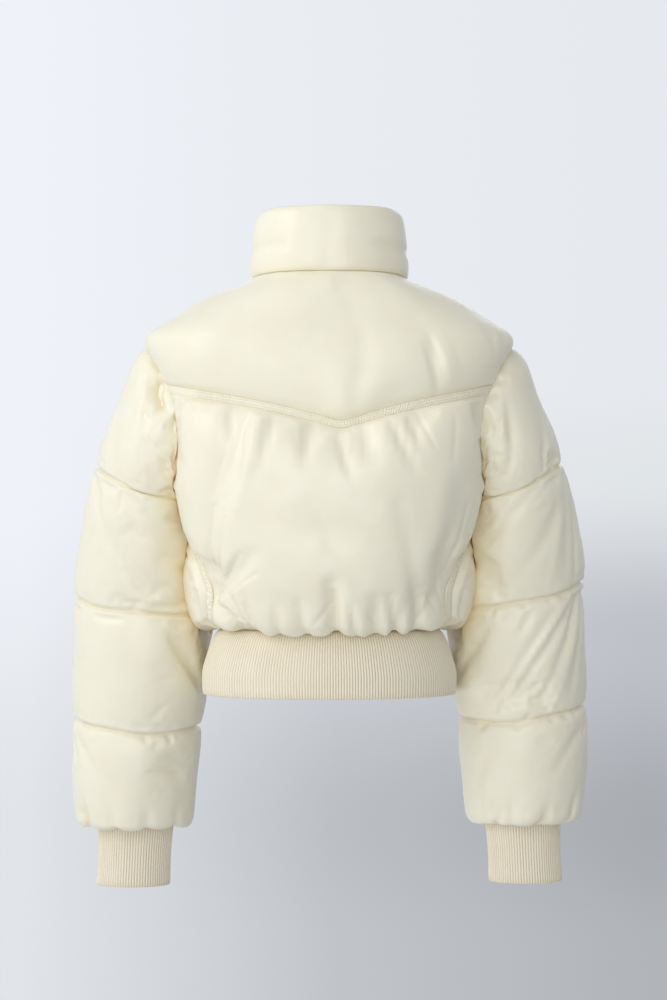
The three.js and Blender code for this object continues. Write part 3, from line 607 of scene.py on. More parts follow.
def panel_limits(down):
    cosine = np.clip(1 - 2 * (down - ARMHOLE["top"]) / (ARMHOLE["bottom"] - ARMHOLE["top"]), -1, 1)
    reach = ARMHOLE["half_depth"] * np.sqrt(1 - cosine ** 2)
    below = down >= ARMHOLE["bottom"]
    back = np.where(below, side_turn(down), turn_at_y(down, ARMHOLE["middle_y"] - reach))
    front = np.where(below, side_turn(down), turn_at_y(down, ARMHOLE["middle_y"] + reach))
    return back, front


def clear_of_body(points, clearance):
    """Pushes points of a sleeve out of the body, and draws near ones in, so that it lies against it."""
    turn = np.arctan2(np.abs(points[..., 0]), -points[..., 1])
    down = COLLAR_SEAM_Z - points[..., 2]
    for _ in range(3):
        down = COLLAR_SEAM_Z - points[..., 2] - body["drop"](down) * neck_dip(turn)
    beside = (down <= HEM_DOWN + BILLOW) & (down >= ARMHOLE["top"])
    true_down = down
    down = np.minimum(down, FULLEST_DOWN)
    skin = body_point(down, turn)
    back_limit, front_limit = panel_limits(down)
    fall = (down - YOKE_END_DOWN) / (HEM_DOWN - YOKE_END_DOWN)
    on_back = back_puff(turn / back_limit, fall, skin[..., 0], down)
    edge = zip_turn(down)
    on_front = front_puff((edge - turn) / (edge - front_limit), down / HEM_DOWN, skin[..., 0], down)
    puff = np.where(turn < back_limit, on_back, np.where(turn > front_limit, on_front, 0))
    needed = np.hypot(skin[..., 0], skin[..., 1]) + puff + clearance
    has = np.hypot(points[..., 0], points[..., 1])
    fade = 1 - smooth(HEM_DOWN - 4, HEM_DOWN + BILLOW, true_down)
    gap = np.maximum(has - needed, 0)
    drawn = has - gap * np.exp(-(gap / DRAWN_IN) ** 2)
    moved = np.where(has < needed, needed, drawn)
    grow = np.where(beside, mix(1, moved / has, fade), 1)
    out = points.copy()
    out[..., :2] *= grow[..., None]
    return out


def sleeve_oval(at, angle, lift):
    f = (1 + np.cos(angle)) / 2
    x = mix(sleeve["in_x"](at), sleeve["out_x"](at), f)
    inner_z = sleeve["in_z"](at) + lift * sleeve["lift_in"](at)
    z = mix(inner_z, sleeve["out_z"](at) + lift * sleeve["lift_out"](at), f)
    return np.stack([x, sleeve["y"](at) - sleeve["depth"](at) * np.sin(angle), z], axis=-1)


# Wrinkles across the sleeve's channels: angle round the sleeve and way along it, start and end
WRINKLE_KEYS = ("a0", "at0", "a1", "at1", "width", "depth")
SLEEVE_CREASES = {
    "both": [dict(zip(WRINKLE_KEYS, row)) for row in (
        (60, 40, 110, 118, 10, 2.6),
        (100, 30, 150, 110, 10, 2.4),
        (20, 60, 60, 132, 9, 1.6),
        (30, 160, 100, 250, 10, 2.2),
        (75, 150, 130, 200, 8, 2.0),
        (118, 200, 160, 262, 9, 2.4),
        (120, 300, 165, 372, 9, 2.0),
        (25, 418, 70, 470, 9, 2.0),
        (115, 424, 150, 490, 9, 2.0),
        (34, 484, 44, 514, 7, 3.0),
        (70, 488, 76, 514, 7, 2.4),
        (104, 486, 108, 514, 8, 3.0),
        (138, 488, 140, 514, 7, 2.4),
        (-40, 40, -110, 120, 11, 2.4),
        (-30, 160, -120, 250, 11, 2.4),
        (-60, 290, -130, 380, 11, 2.4),
        (-40, 420, -100, 500, 11, 2.4),
        (-80, 482, -76, 514, 8, 2.4),
        (-130, 486, -128, 514, 8, 2.4),
    )],
    "left": [dict(zip(WRINKLE_KEYS, row)) for row in (
        (56, 10, 68, 34, 9, 6.5),
        (68, 34, 82, 24, 7, 5.5),
        (74, 52, 82, 66, 8, -2.6),
        (60, 128, 64, 138, 5, 3.5),
        (82, 262, 84, 274, 7, 3.0),
        (14, 420, 26, 452, 8, 2.6),
        (120, 430, 146, 446, 7, 2.8),
        (112, 452, 150, 462, 7, 2.4),
        (28, 492, 36, 512, 8, 4.0),
    )],
    "right": [dict(zip(WRINKLE_KEYS, row)) for row in (
        (26, 150, 50, 255, 6, 1.8),
        (36, 152, 66, 262, 6, -1.4),
        (14, 170, 34, 250, 6, 1.8),
        (40, 286, 98, 372, 6, 2.6),
        (48, 284, 110, 380, 6, -2.0),
        (58, 286, 120, 392, 6, 2.6),
        (30, 286, 74, 384, 5, 2.2),
        (24, 290, 62, 390, 5, -1.6),
        (20, 300, 48, 392, 5, 1.8),
        (78, 282, 92, 312, 5, 2.2),
        (66, 30, 84, 70, 8, 3.0),
        (118, 490, 126, 514, 9, 4.0),
        (64, 500, 86, 508, 7, 2.4),
    )],
}


def sleeve_crease_depth(angle, at, side):
    degrees = (np.degrees(angle) + 180) % 360 - 180
    total = np.zeros(np.broadcast(angle, at).shape)
    around_mm = 1.2
    for crease in SLEEVE_CREASES["both"] + SLEEVE_CREASES[side]:
        run_a = (crease["a1"] - crease["a0"]) * around_mm
        run_at = crease["at1"] - crease["at0"]
        from_a = (degrees - crease["a0"]) * around_mm
        from_at = at - crease["at0"]
        f = np.clip((from_a * run_a + from_at * run_at) / (run_a ** 2 + run_at ** 2), 0, 1)
        away = np.hypot(from_a - run_a * f, from_at - run_at * f)
        taper = np.sin(math.pi * np.clip(0.08 + 0.84 * f, 0, 1))
        total += crease["depth"] * taper * np.exp(-(away / crease["width"]) ** 2)
    return total


def make_sleeve(sign):
    lift = 1 if sign > 0 else 0
    side = "right" if sign > 0 else "left"
    yoke_part = np.linspace(FRONT_CORNER, BACK_CORNER, even_count(140) + 1)[:-1]
    back_part = np.linspace(BACK_CORNER, math.pi, even_count(130) + 1)[:-1]
    front_part = np.linspace(math.pi, 2 * math.pi + FRONT_CORNER, even_count(150) + 1)[:-1]
    angle = np.concatenate([yoke_part, back_part, front_part])
    wrapped = np.where(angle > math.pi, angle - 2 * math.pi, angle)
    loop = body_point(*armhole_at(wrapped))
    levels, quilt = [0.0], []
    for start, end in zip(QUILT_ROWS, QUILT_ROWS[1:]):
        levels += list(np.linspace(start, end, even_count(end - start) + 1)[1:])
        quilt.append(len(levels) - 1)
    at = np.array(levels)[:, None]
    angle = angle[None]
    fade = (1 - np.clip(at / LOOP_FADE, 0, 1)) ** 2
    grid = sleeve_oval(at, angle, lift)
    grid = grid + (loop[None] - sleeve_oval(0.0, angle, lift)) * fade[..., None]
    sagging = np.clip(np.sin(angle), 0, 1) ** 1.5
    grid[..., 2] -= sleeve_sag(at) * sagging * (1 + 0.15 * np.sin(4 * angle + at / 60))
    up = np.concatenate([grid[:1], grid[:-1]])
    down = np.concatenate([grid[1:], grid[-1:]])
    around = np.roll(grid, -1, axis=1) - np.roll(grid, 1, axis=1)
    normals = -unit(np.cross(down - up, around))
    base = set_back(grid, normals, True, SEAM_GAP / 2)
    channel = np.clip(np.searchsorted(QUILT_ROWS, at) - 1, 0, len(QUILT_ROWS) - 2)
    ends = np.array(QUILT_ROWS, float)
    f = (at - ends[channel]) / (ends[channel + 1] - ends[channel])
    pressed = smooth(0.35, 0.9, -np.cos(angle)) * smooth(20, 60, at) * (1 - smooth(300, 340, at))
    puff = SLEEVE_PUFF * mix(lens(f, 2.4), 1, 0.8 * pressed)
    creases = sleeve_crease_depth(angle, at, side)
    puff = puff - smooth(0, 5, puff) * creases
    outer = base + normals * puff[..., None]
    end = np.clip((at - SLEEVE_OVERHANG["from"]) / (QUILT_ROWS[-1] - SLEEVE_OVERHANG["from"]), 0, 1)
    outer[..., 2] -= SLEEVE_OVERHANG["drop"] * np.sin(math.pi * end ** 1.6)
    outer = clear_of_body(outer, SLEEVE_CLEARANCE)
    base = clear_of_body(base, SLEEVE_CLEARANCE)
    mirror = np.array([sign, 1, 1])
    panel = Panel(
        "sleeve_" + side, base * mirror, normals * mirror, 0 * puff, closed=True, quilt_rows=quilt)
    panel.start = outer * mirror
    panel.outer = panel.start.copy()
    panel.quilt = quilt
    panel.finer = 3
    # Painted shade where the sleeve's creases run deepest
    panel.dent_shade = smooth(2.5, 8, creases + 0 * angle)
    return panel


# Cloth simulation of the padded shells
CLOTH_FRAMES = 20
CLOTH_CAP = 4.0
CLOTH = {
    "quality": 5,
    "mass": 0.08,
    "tension_stiffness": 12,
    "compression_stiffness": 12,
    "shear_stiffness": 4,
    "bending_stiffness": 0.5,
    "tension_damping": 6,
    "compression_damping": 6,
    "shear_damping": 6,
    "air_damping": 2,
    "shrink_min": -0.05,
    "uniform_pressure_force": 2.0,
}


def simulate(panels):
    """Lets the shells, held along their seams and a little too large for them, pucker under pressure."""
    points, faces, pins = [], [], []
    for panel in panels:
        first = sum(len(p) for p in points)
        rows, columns = panel.start.shape[:2]
        index = first + np.arange(rows * columns).reshape(rows, columns)
        faces.append(grid_faces(index, panel.closed, outward(panel)))
        points.append(panel.start.reshape(-1, 3))
        pins.append(panel.pins.ravel())
    mesh = bpy.data.meshes.new("shells")
    mesh.from_pydata(np.concatenate(points) * MM, [], np.concatenate(faces).tolist())
    cloth = bpy.data.objects.new("shells", mesh)
    bpy.context.scene.collection.objects.link(cloth)
    group = cloth.vertex_groups.new(name="pin")
    group.add([int(i) for i in np.flatnonzero(np.concatenate(pins))], 1.0, "REPLACE")
    modifier = cloth.modifiers.new("cloth", "CLOTH")
    for key, value in CLOTH.items():
        setattr(modifier.settings, key, value)
    modifier.settings.vertex_group_mass = "pin"
    modifier.settings.use_pressure = True
    modifier.settings.effector_weights.gravity = 0
    modifier.collision_settings.use_collision = False
    modifier.collision_settings.use_self_collision = False
    scene = bpy.context.scene
    modifier.point_cache.frame_start = 1
    modifier.point_cache.frame_end = CLOTH_FRAMES
    for number in range(1, CLOTH_FRAMES + 1):
        scene.frame_set(number)
    evaluated = cloth.evaluated_get(bpy.context.evaluated_depsgraph_get())
    result = np.empty(len(mesh.vertices) * 3)
    evaluated.data.vertices.foreach_get("co", result)
    result = result.reshape(-1, 3) / MM
    scene.frame_set(1)
    bpy.data.objects.remove(cloth)
    bpy.data.meshes.remove(mesh)
    first = 0
    for panel in panels:
        count = panel.start.shape[0] * panel.start.shape[1]
        moved = result[first:first + count].reshape(panel.start.shape) - panel.start
        first += count
        moved = calmed(moved, panel.calm) * (panel.give * ~panel.pins)[..., None]
        length = np.linalg.norm(moved, axis=-1, keepdims=True)
        capped = CLOTH_CAP * np.tanh(length / CLOTH_CAP)
        panel.outer = panel.start + moved * capped / np.maximum(length, 1e-6)


# How far from a facing piece the painted crevice shade reaches
CREVICE_SHADE_REACH = 15.0


def paint_crevice_shade(panels):
    """Painted shade: marks points that lie close to another piece that faces them, to be coloured a warmer,
    deeper yellow.
    """
    owner = np.concatenate([np.full(p.outer.shape[0] * p.outer.shape[1], i) for i, p in enumerate(panels)])
    points = np.concatenate([p.outer.reshape(-1, 3) for p in panels])
    normals = np.concatenate([p.normals.reshape(-1, 3) for p in panels])
    for i, panel in enumerate(panels):
        others = np.flatnonzero(owner != i)
        tree = KDTree(len(others))
        for k in others:
            tree.insert(points[k], int(k))
        tree.balance()
        score = np.zeros(panel.outer.shape[0] * panel.outer.shape[1])
        own = np.flatnonzero(owner == i)
        for j, k in enumerate(own):
            for _, other, distance in tree.find_n(points[k], 4):
                facing = max(0.0, -float(np.dot(normals[k], normals[other])))
                score[j] = max(score[j], facing ** 0.5 * math.exp(-distance / CREVICE_SHADE_REACH))
        panel.crevice_shade = np.maximum(score.reshape(panel.outer.shape[:2]), panel.dent_shade)


def calmed(field, times):
    """Evens out the small bumps of a field over an open grid."""
    for _ in range(times):
        spread = np.pad(field, ((1, 1), (1, 1), (0, 0)), mode="edge")
        field = (
            2 * field + spread[:-2, 1:-1] + spread[2:, 1:-1] + spread[1:-1, :-2] + spread[1:-1, 2:]
        ) / 6
    return field


# Closed meshes from grids

def faces_out(grid, normals):
    """True where rows and columns turn so that a plain quad faces out."""
    r, c = grid.shape[0] // 2, grid.shape[1] // 2
    along = grid[r + 1, c] - grid[r, c]
    around = grid[r, c + 1] - grid[r, c]
    return float(np.dot(np.cross(along, around), normals[r, c])) > 0


def outward(panel):
    return faces_out(panel.base, panel.normals)


def grid_faces(index, closed, plain):
    if closed:
        index = np.concatenate([index, index[:, :1]], axis=1)
    a, b = index[:-1, :-1], index[1:, :-1]
    c, d = index[1:, 1:], index[:-1, 1:]
    order = (a, b, c, d) if plain else (a, d, c, b)
    return np.stack(order, axis=-1).reshape(-1, 4)


def rim_faces(outer, inner, plain):
    """Joins two edges that may have different numbers of steps."""
    faces = []
    i = j = 0
    m, n = len(outer) - 1, len(inner) - 1
    while i < m or j < n:
        if j == n or (i < m and (i + 1) / m <= (j + 1) / n + 1e-9):
            face = (outer[i], outer[i + 1], inner[j])
            i += 1
        else:
            face = (outer[i], inner[j + 1], inner[j])
            j += 1
        faces.append(face if plain else face[::-1])
    return faces


def wall_mesh(name, outer, inner, closed, plain, uv=None, painted_shade=None):
    """A closed wall between an outer and an inner grid of points, in millimetres."""
    count = outer.shape[0] * outer.shape[1]
    out_index = np.arange(count).reshape(outer.shape[:2])
    in_index = count + np.arange(inner.shape[0] * inner.shape[1]).reshape(inner.shape[:2])
    faces = grid_faces(out_index, closed, plain).tolist()
    faces += grid_faces(in_index, closed, not plain).tolist()

    def ring(line):
        return [int(i) for i in line] + ([int(line[0])] if closed else [])

    faces += rim_faces(ring(out_index[0]), ring(in_index[0]), plain)
    faces += rim_faces(ring(out_index[-1]), ring(in_index[-1]), not plain)
    if not closed:
        faces += rim_faces(ring(out_index[:, 0]), ring(in_index[:, 0]), not plain)
        faces += rim_faces(ring(out_index[:, -1]), ring(in_index[:, -1]), plain)
    points = np.concatenate([outer.reshape(-1, 3), inner.reshape(-1, 3)]) * MM
    return new_mesh(name, points, faces, uv, painted_shade)


def new_mesh(name, points, faces, uv=None, painted_shade=None, smooth_faces=True):
    mesh = bpy.data.meshes.new(name)
    mesh.from_pydata(points.tolist(), [], faces)
    mesh.validate()
    if smooth_faces:
        mesh.polygons.foreach_set("use_smooth", np.ones(len(mesh.polygons), bool))
    corner = np.empty(len(mesh.loops), int)
    mesh.loops.foreach_get("vertex_index", corner)
    if uv is not None:
        values = np.zeros((len(mesh.vertices), 2))
        values[:len(uv)] = uv
        mesh.uv_layers.new(name="cloth").data.foreach_set("uv", values[corner].ravel())
    if painted_shade is not None:
        values = np.zeros(len(mesh.vertices))
        values[:len(painted_shade)] = painted_shade
        # The crease attribute holds painted shade, which the materials turn into a deeper colour
        mesh.attributes.new("crease", "FLOAT", "POINT").data.foreach_set("value", values)
    mesh.update()
    piece = bpy.data.objects.new(name, mesh)
    bpy.context.scene.collection.objects.link(piece)
    return piece


def refine(grid, times, axis, closed):
    """A smooth curve through a grid's points along one axis, with more points on it."""
    grid = np.moveaxis(grid, axis, 0)
    count = len(grid)
    if closed:
        padded = np.concatenate([grid[-1:], grid, grid[:2]])
        segments = count
    else:
        padded = np.concatenate([2 * grid[:1] - grid[1:2], grid, 2 * grid[-1:] - grid[-2:-1]])
        segments = count - 1
    p0, p1 = padded[:segments], padded[1:segments + 1]
    p2, p3 = padded[2:segments + 2], padded[3:segments + 3]
    lines = []
    for k in range(times):
        t = k / times
        lines.append(0.5 * (
            2 * p1 + (p2 - p0) * t + (2 * p0 - 5 * p1 + 4 * p2 - p3) * t ** 2
            + (3 * p1 - p0 - 3 * p2 + p3) * t ** 3))
    fine = np.stack(lines, axis=1).reshape(segments * times, *grid.shape[1:])
    if not closed:
        fine = np.concatenate([fine, grid[-1:]])
    return np.moveaxis(fine, 0, axis)


def lengths_along(grid, axis):
    """Length along each grid line from its first point."""
    step = np.linalg.norm(np.diff(grid, axis=axis), axis=-1)
    start = np.zeros_like(np.take(step, [0], axis=axis))
    return np.concatenate([start, np.cumsum(step, axis=axis)], axis=axis)


def grid_normals(grid, closed, plain):
    along = np.gradient(grid, axis=0)
    if closed:
        around = np.roll(grid, -1, axis=1) - np.roll(grid, 1, axis=1)
    else:
        around = np.gradient(grid, axis=1)
    normals = unit(np.cross(along, around))
    return normals if plain else -normals


def line_noise(s, cell, seed):
    zero = np.zeros_like(s)
    return noise(np.stack([s, zero + 0.5 * cell, zero], axis=-1), cell, seed)


def pucker(distance, s, seed, reach, height):
    """Short ridges and troughs that run away from a seam and fade out."""
    drift = 5 * line_noise(s, 46, seed + 3)
    long = line_noise(s + drift, 8.5, seed)
    short = line_noise(s + drift, 4.6, seed + 1)
    length = reach * (0.75 + 0.55 * line_noise(s, 13, seed + 2))
    wide = long * np.exp(-(distance / np.maximum(length, 3)) ** 1.4)
    close = short * np.exp(-(distance / (0.32 * reach)) ** 1.2)
    rise = 1 - np.exp(-(distance / 1.6) ** 2)
    return height * (wide + 0.45 * close) * rise


SEAM_PAINTED_SHADE = 0.28
CREVICE_PAINTED_SHADE = 0.8
RING_BLEND = 60.0
RUFFLE = {"pitch": 3.1, "reach": 6.0}


def seam_detail(distance, s, seed, reach, height, gather):
    """What a seam does to the cloth beside it: fine puckers and wider gathers."""
    wide = gather * line_noise(s, 21, seed + 7) * np.exp(-(distance / (1.5 * reach)) ** 1.5)
    rise = 1 - np.exp(-(distance / 3) ** 2)
    return pucker(distance, s, seed, reach, height) + wide * rise


def fine_shell(panel, seed, reach=15, height=1.0, gather=1.0, hem_gather=1.0, wrinkle=0.5, ruffle=0.0):
    """The panel's outer grid at full detail and how much painted shade each point gets, along its seams and
    in crevices and dents.
    """
    finer = panel.finer
    finer_across = panel.finer_across or finer
    grid = refine(refine(panel.outer, finer, 0, False), finer_across, 1, panel.closed)
    normals = grid_normals(grid, panel.closed, outward(panel))
    down_way = lengths_along(grid, 0)
    across_way = lengths_along(grid, 1)
    first = panel.flat_rows * finer
    seams = [first, *[r * finer for r in panel.quilt[:-1]], len(grid) - 1]
    detail = np.zeros(grid.shape[:2])
    near = np.full(grid.shape[:2], 1e3)
    for k, row in enumerate(seams):
        distance = np.abs(down_way - down_way[row:row + 1])
        s = np.broadcast_to(across_way[row:row + 1], distance.shape)
        sewn = hem_gather if row == len(grid) - 1 else gather
        sewing = seam_detail(distance, s, seed + 11 * k, reach, height, sewn)
        if panel.closed:
            girth = float(across_way[row, -1] + np.linalg.norm(grid[row, 0] - grid[row, -1]))
            again = seam_detail(distance, s - girth, seed + 11 * k, reach, height, sewn)
            sewing = mix(sewing, again, smooth(girth - RING_BLEND, girth, s))
        detail += sewing
        if ruffle and row == len(grid) - 1:
            drift = 1.6 * line_noise(s, 13, seed + 3)
            uneven = 0.6 + 0.5 * line_noise(s, 19, seed + 4)
            wave = np.sin(2 * math.pi * (s + drift) / RUFFLE["pitch"])
            detail += ruffle * uneven * wave * np.exp(-(distance / RUFFLE["reach"]) ** 1.5)
        near = np.minimum(near, distance)
    if not panel.closed:
        for k, column in enumerate((0, -1)):
            ends = across_way[:, [column]].copy()
            if column == -1 and panel.band_from is not None:
                band = panel.band_from * finer
                ends[band:] = across_way[band:, [-1 - 2 * finer]]
            distance = np.abs(across_way - ends)
            s = np.broadcast_to(down_way[:, [column]], distance.shape)
            sewing = seam_detail(distance, s, seed + 97 + 11 * k, 0.8 * reach, 0.9 * height, 0.7 * gather)
            detail += sewing
            near = np.minimum(near, distance)
    near[:first] = 0
    if panel.band_from is not None:
        near[panel.band_from * finer:, -2 * finer:] = 0
    detail += wrinkle * noise(grid, 30, seed + 5) * smooth(0, 14, near)
    detail += 0.3 * wrinkle * noise(grid, 12, seed + 6) * smooth(0, 8, near)
    if panel.fine_creases:
        where = refine(refine(panel.where, finer, 0, False), finer_across, 1, panel.closed)
        detail -= crease_depth(where[..., 0], where[..., 1], panel.fine_creases) * smooth(0, 7, near)
    grid = grid + normals * (detail * smooth(0, 2.5, near))[..., None]
    crevice_shade = refine(refine(panel.crevice_shade[..., None], finer, 0, False), finer_across, 1, panel.closed)[..., 0]
    # Painted shade: a patchy yellower colour along the seams, and in crevices and deep dents
    patchy = 0.75 + 0.25 * noise(grid, 9, seed + 8)
    painted_shade = np.clip(SEAM_PAINTED_SHADE * patchy * np.exp(-near / 1.5) + CREVICE_PAINTED_SHADE * np.clip(crevice_shade, 0, 1), 0, 1)
    return grid, painted_shade, np.stack([across_way, down_way], axis=-1)


def shell_piece(panel, seed, **detail):
    grid, painted_shade, way = fine_shell(panel, seed, **detail)
    inner = panel.base - panel.normals * WALL
    plain = outward(panel)
    return wall_mesh(
        panel.name + "_shell", grid, inner, panel.closed, plain,
        uv=way.reshape(-1, 2) * MM, painted_shade=painted_shade.ravel())


# Materials

def material(name, base, roughness):
    made = bpy.data.materials.new(name)
    made.use_nodes = True
    nodes = made.node_tree.nodes
    shader = nodes["Principled BSDF"]
    shader.inputs["Base Color"].default_value = (*base, 1)
    shader.inputs["Roughness"].default_value = roughness
    return made, nodes, made.node_tree.links, shader


def add_node(nodes, kind, **inputs):
    node = nodes.new(kind)
    for key, value in inputs.items():
        node.inputs[key.replace("_", " ")].default_value = value
    return node


def add_noise(nodes, links, **inputs):
    """A noise texture in the piece's own space."""
    place = nodes.new("ShaderNodeTexCoord")
    made = add_node(nodes, "ShaderNodeTexNoise", **inputs)
    links.new(place.outputs["Object"], made.inputs["Vector"])
    return made.outputs["Fac"]


def add_bumps(nodes, links, shader, *layers):
    """Bump in layers, the lowest first, each with its height, strength and distance."""
    below = None
    for height, strength, distance in layers:
        bump = add_node(nodes, "ShaderNodeBump", Strength=strength, Distance=distance)
        links.new(height, bump.inputs["Height"])
        if below:
            links.new(below, bump.inputs["Normal"])
        below = bump.outputs["Normal"]
    links.new(below, shader.inputs["Normal"])


def add_wave(nodes, links, space, direction, **inputs):
    place = nodes.new("ShaderNodeTexCoord")
    made = add_node(nodes, "ShaderNodeTexWave", **inputs)
    made.wave_type = "BANDS"
    made.bands_direction = direction
    links.new(place.outputs[space], made.inputs["Vector"])
    return made.outputs["Fac"]


def colour_by_painted_shade(nodes, links, shader, mottled, share, stops):
    """Painted shade: colour that deepens with the mesh's crease values, which hold painted shade, mottled a
    little by a noise.
    """
    crease = nodes.new("ShaderNodeAttribute")
    crease.attribute_name = "crease"
    blend = nodes.new("ShaderNodeMath")
    blend.operation = "MULTIPLY_ADD"
    blend.inputs[1].default_value = share
    links.new(mottled, blend.inputs[0])
    links.new(crease.outputs["Fac"], blend.inputs[2])
    ramp = colour_ramp(nodes, stops)
    links.new(blend.outputs[0], ramp.inputs["Fac"])
    links.new(ramp.outputs["Color"], shader.inputs["Base Color"])


def colour_ramp(nodes, stops):
    ramp = nodes.new("ShaderNodeValToRGB")
    elements = ramp.color_ramp.elements
    while len(elements) < len(stops):
        elements.new(0.5)
    for element, (place, colour) in zip(elements, stops):
        element.position = place
        element.color = (*colour, 1)
    return ramp


def linear(*srgb):
    return tuple((c / 255 / 12.92) if c <= 10 else ((c / 255 + 0.055) / 1.055) ** 2.4 for c in srgb)


# Own colours of the cloth and knit, and the deeper colours of their painted shade
SHELL_LIGHT = linear(243, 238, 216)
SHELL_PAINTED_SHADE = linear(226, 203, 148)
KNIT_LIGHT = linear(249, 241, 220)
KNIT_PAINTED_SHADE = linear(214, 198, 166)


def shell_material(name="padded_shell", light=SHELL_LIGHT, painted_shade_colour=SHELL_PAINTED_SHADE):
    """Thin satin nylon: a fine plain weave, slight crinkle and painted shade, a yellower cast down in its
    seams and crevices.
    """
    made, nodes, links, shader = material(name, light, 0.36)
    mottled = add_noise(nodes, links, Scale=38.0, Detail=3.0)
    colour_by_painted_shade(nodes, links, shader, mottled, 0.22, ((0.08, light), (0.95, painted_shade_colour)))
    gloss = add_node(nodes, "ShaderNodeMapRange", From_Min=0.3, From_Max=0.7, To_Min=0.31, To_Max=0.42)
    links.new(mottled, gloss.inputs["Value"])
    links.new(gloss.outputs["Result"], shader.inputs["Roughness"])
    shader.inputs["Sheen Weight"].default_value = 0.2
    shader.inputs["Sheen Roughness"].default_value = 0.4
    shader.inputs["Coat Weight"].default_value = 0.12
    shader.inputs["Coat Roughness"].default_value = 0.3
    shader.inputs["Subsurface Weight"].default_value = 0.08
    shader.inputs["Subsurface Radius"].default_value = (0.006, 0.005, 0.003)
    crinkle = add_noise(nodes, links, Scale=150.0, Detail=4.0, Roughness=0.55)
    weave = add_wave(nodes, links, "UV", "DIAGONAL", Scale=700.0, Distortion=1.5)
    add_bumps(nodes, links, shader, (crinkle, 0.10, 0.0006), (weave, 0.05, 0.0001))
    return made


def knit_material():
    """Rib knit: columns of small stitches, with painted shade darker down between the ribs."""
    made, nodes, links, shader = material("rib_knit", KNIT_LIGHT, 0.85)
    fuzz = add_noise(nodes, links, Scale=900.0, Detail=3.0)
    colour_by_painted_shade(nodes, links, shader, fuzz, 0.35, ((0.1, KNIT_LIGHT), (1.0, KNIT_PAINTED_SHADE)))
    shader.inputs["Sheen Weight"].default_value = 0.25
    shader.inputs["Sheen Roughness"].default_value = 0.5
    stitches = add_wave(nodes, links, "UV", "Y", Scale=180.0, Distortion=3.0, Detail_Scale=400.0)
    add_bumps(nodes, links, shader, (stitches, 0.35, 0.0004), (fuzz, 0.25, 0.0003))
    return made


def thread_material():
    made, nodes, links, shader = material("thread", linear(226, 219, 200), 0.6)
    twist = add_noise(nodes, links, Scale=2500.0, Detail=2.0)
    add_bumps(nodes, links, shader, (twist, 0.4, 0.0002))
    return made


def tape_material():
    made, nodes, links, shader = material("zip_tape", linear(228, 221, 203), 0.8)
    weave = add_wave(nodes, links, "Object", "Z", Scale=320.0)
    add_bumps(nodes, links, shader, (weave, 0.5, 0.0003))
    return made


def resin_material():
    made, nodes, links, shader = material("zip_teeth", linear(233, 227, 211), 0.3)
    grain = add_noise(nodes, links, Scale=600.0, Detail=2.0)
    add_bumps(nodes, links, shader, (grain, 0.1, 0.0002))
    return made


def metal_material():
    """Zip metal under a thin cream lacquer, a little worn along its length."""
    made, nodes, links, shader = material("zip_metal", linear(214, 209, 196), 0.32)
    shader.inputs["Metallic"].default_value = 0.75
    wear = add_noise(nodes, links, Scale=220.0, Detail=4.0)
    span = add_node(nodes, "ShaderNodeMapRange", From_Min=0.3, From_Max=0.7, To_Min=0.24, To_Max=0.42)
    links.new(wear, span.inputs["Value"])
    links.new(span.outputs["Result"], shader.inputs["Roughness"])
    return made


SHELL = shell_material()
# The seam band's own colour and the colour of its painted shade
BAND_CLOTH = shell_material("seam_band", linear(244, 239, 218), linear(228, 207, 156))
KNIT = knit_material()
THREAD = thread_material()
TAPE = tape_material()
RESIN = resin_material()
METAL = metal_material()


def finish_piece(piece, look, nodes=(), body_name="garment"):
    piece.data.materials.clear()
    piece.data.materials.append(look)
    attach(piece, body_name)
    if nodes:
        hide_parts(*nodes)
    return piece


# Padded pieces
yoke = make_yoke()
back = make_back()
fronts = [make_front(-1), make_front(1)]
collar = make_collar()
sleeves = [make_sleeve(-1), make_sleeve(1)]
shells = [yoke, back, *fronts, collar, *sleeves]
simulate(shells)
paint_crevice_shade(shells)

SEAM_LOOKS = {
    "yoke": {
        "reach": 9, "height": 0.7, "gather": 0.3, "hem_gather": 0.5, "wrinkle": 0.35, "ruffle": 0.42},
    "back": {"reach": 15, "height": 0.8, "gather": 0.6, "hem_gather": 2.6, "wrinkle": 0.5},
    "front": {"reach": 15, "height": 0.8, "gather": 0.6, "hem_gather": 2.6, "wrinkle": 0.5},
    "collar": {"reach": 8, "height": 0.5, "gather": 0.3, "hem_gather": 0.3, "wrinkle": 0.3},
    "sleeve": {"reach": 13, "height": 1.1, "gather": 1.2, "hem_gather": 2.0, "wrinkle": 0.55},
}

for seed, panel in enumerate(shells):
    piece = shell_piece(panel, 31 * seed + 7, **SEAM_LOOKS[panel.name.split("_")[0]])
    finish_piece(piece, SHELL, [panel.name])


# Rib knit

def rib_profile(phase):
    """Rounded ribs with a narrow valley between them, from 0 to 1."""
    return np.abs(np.cos(math.pi * phase)) ** 0.7


def roll_over(count, thickness):
    """Offsets inwards and downwards round a folded edge, from its outer to its inner side."""
    turn = np.linspace(0, math.pi, count + 2)[1:-1]
    return thickness / 2 * (1 - np.cos(turn)), thickness / 2 * np.sin(turn)


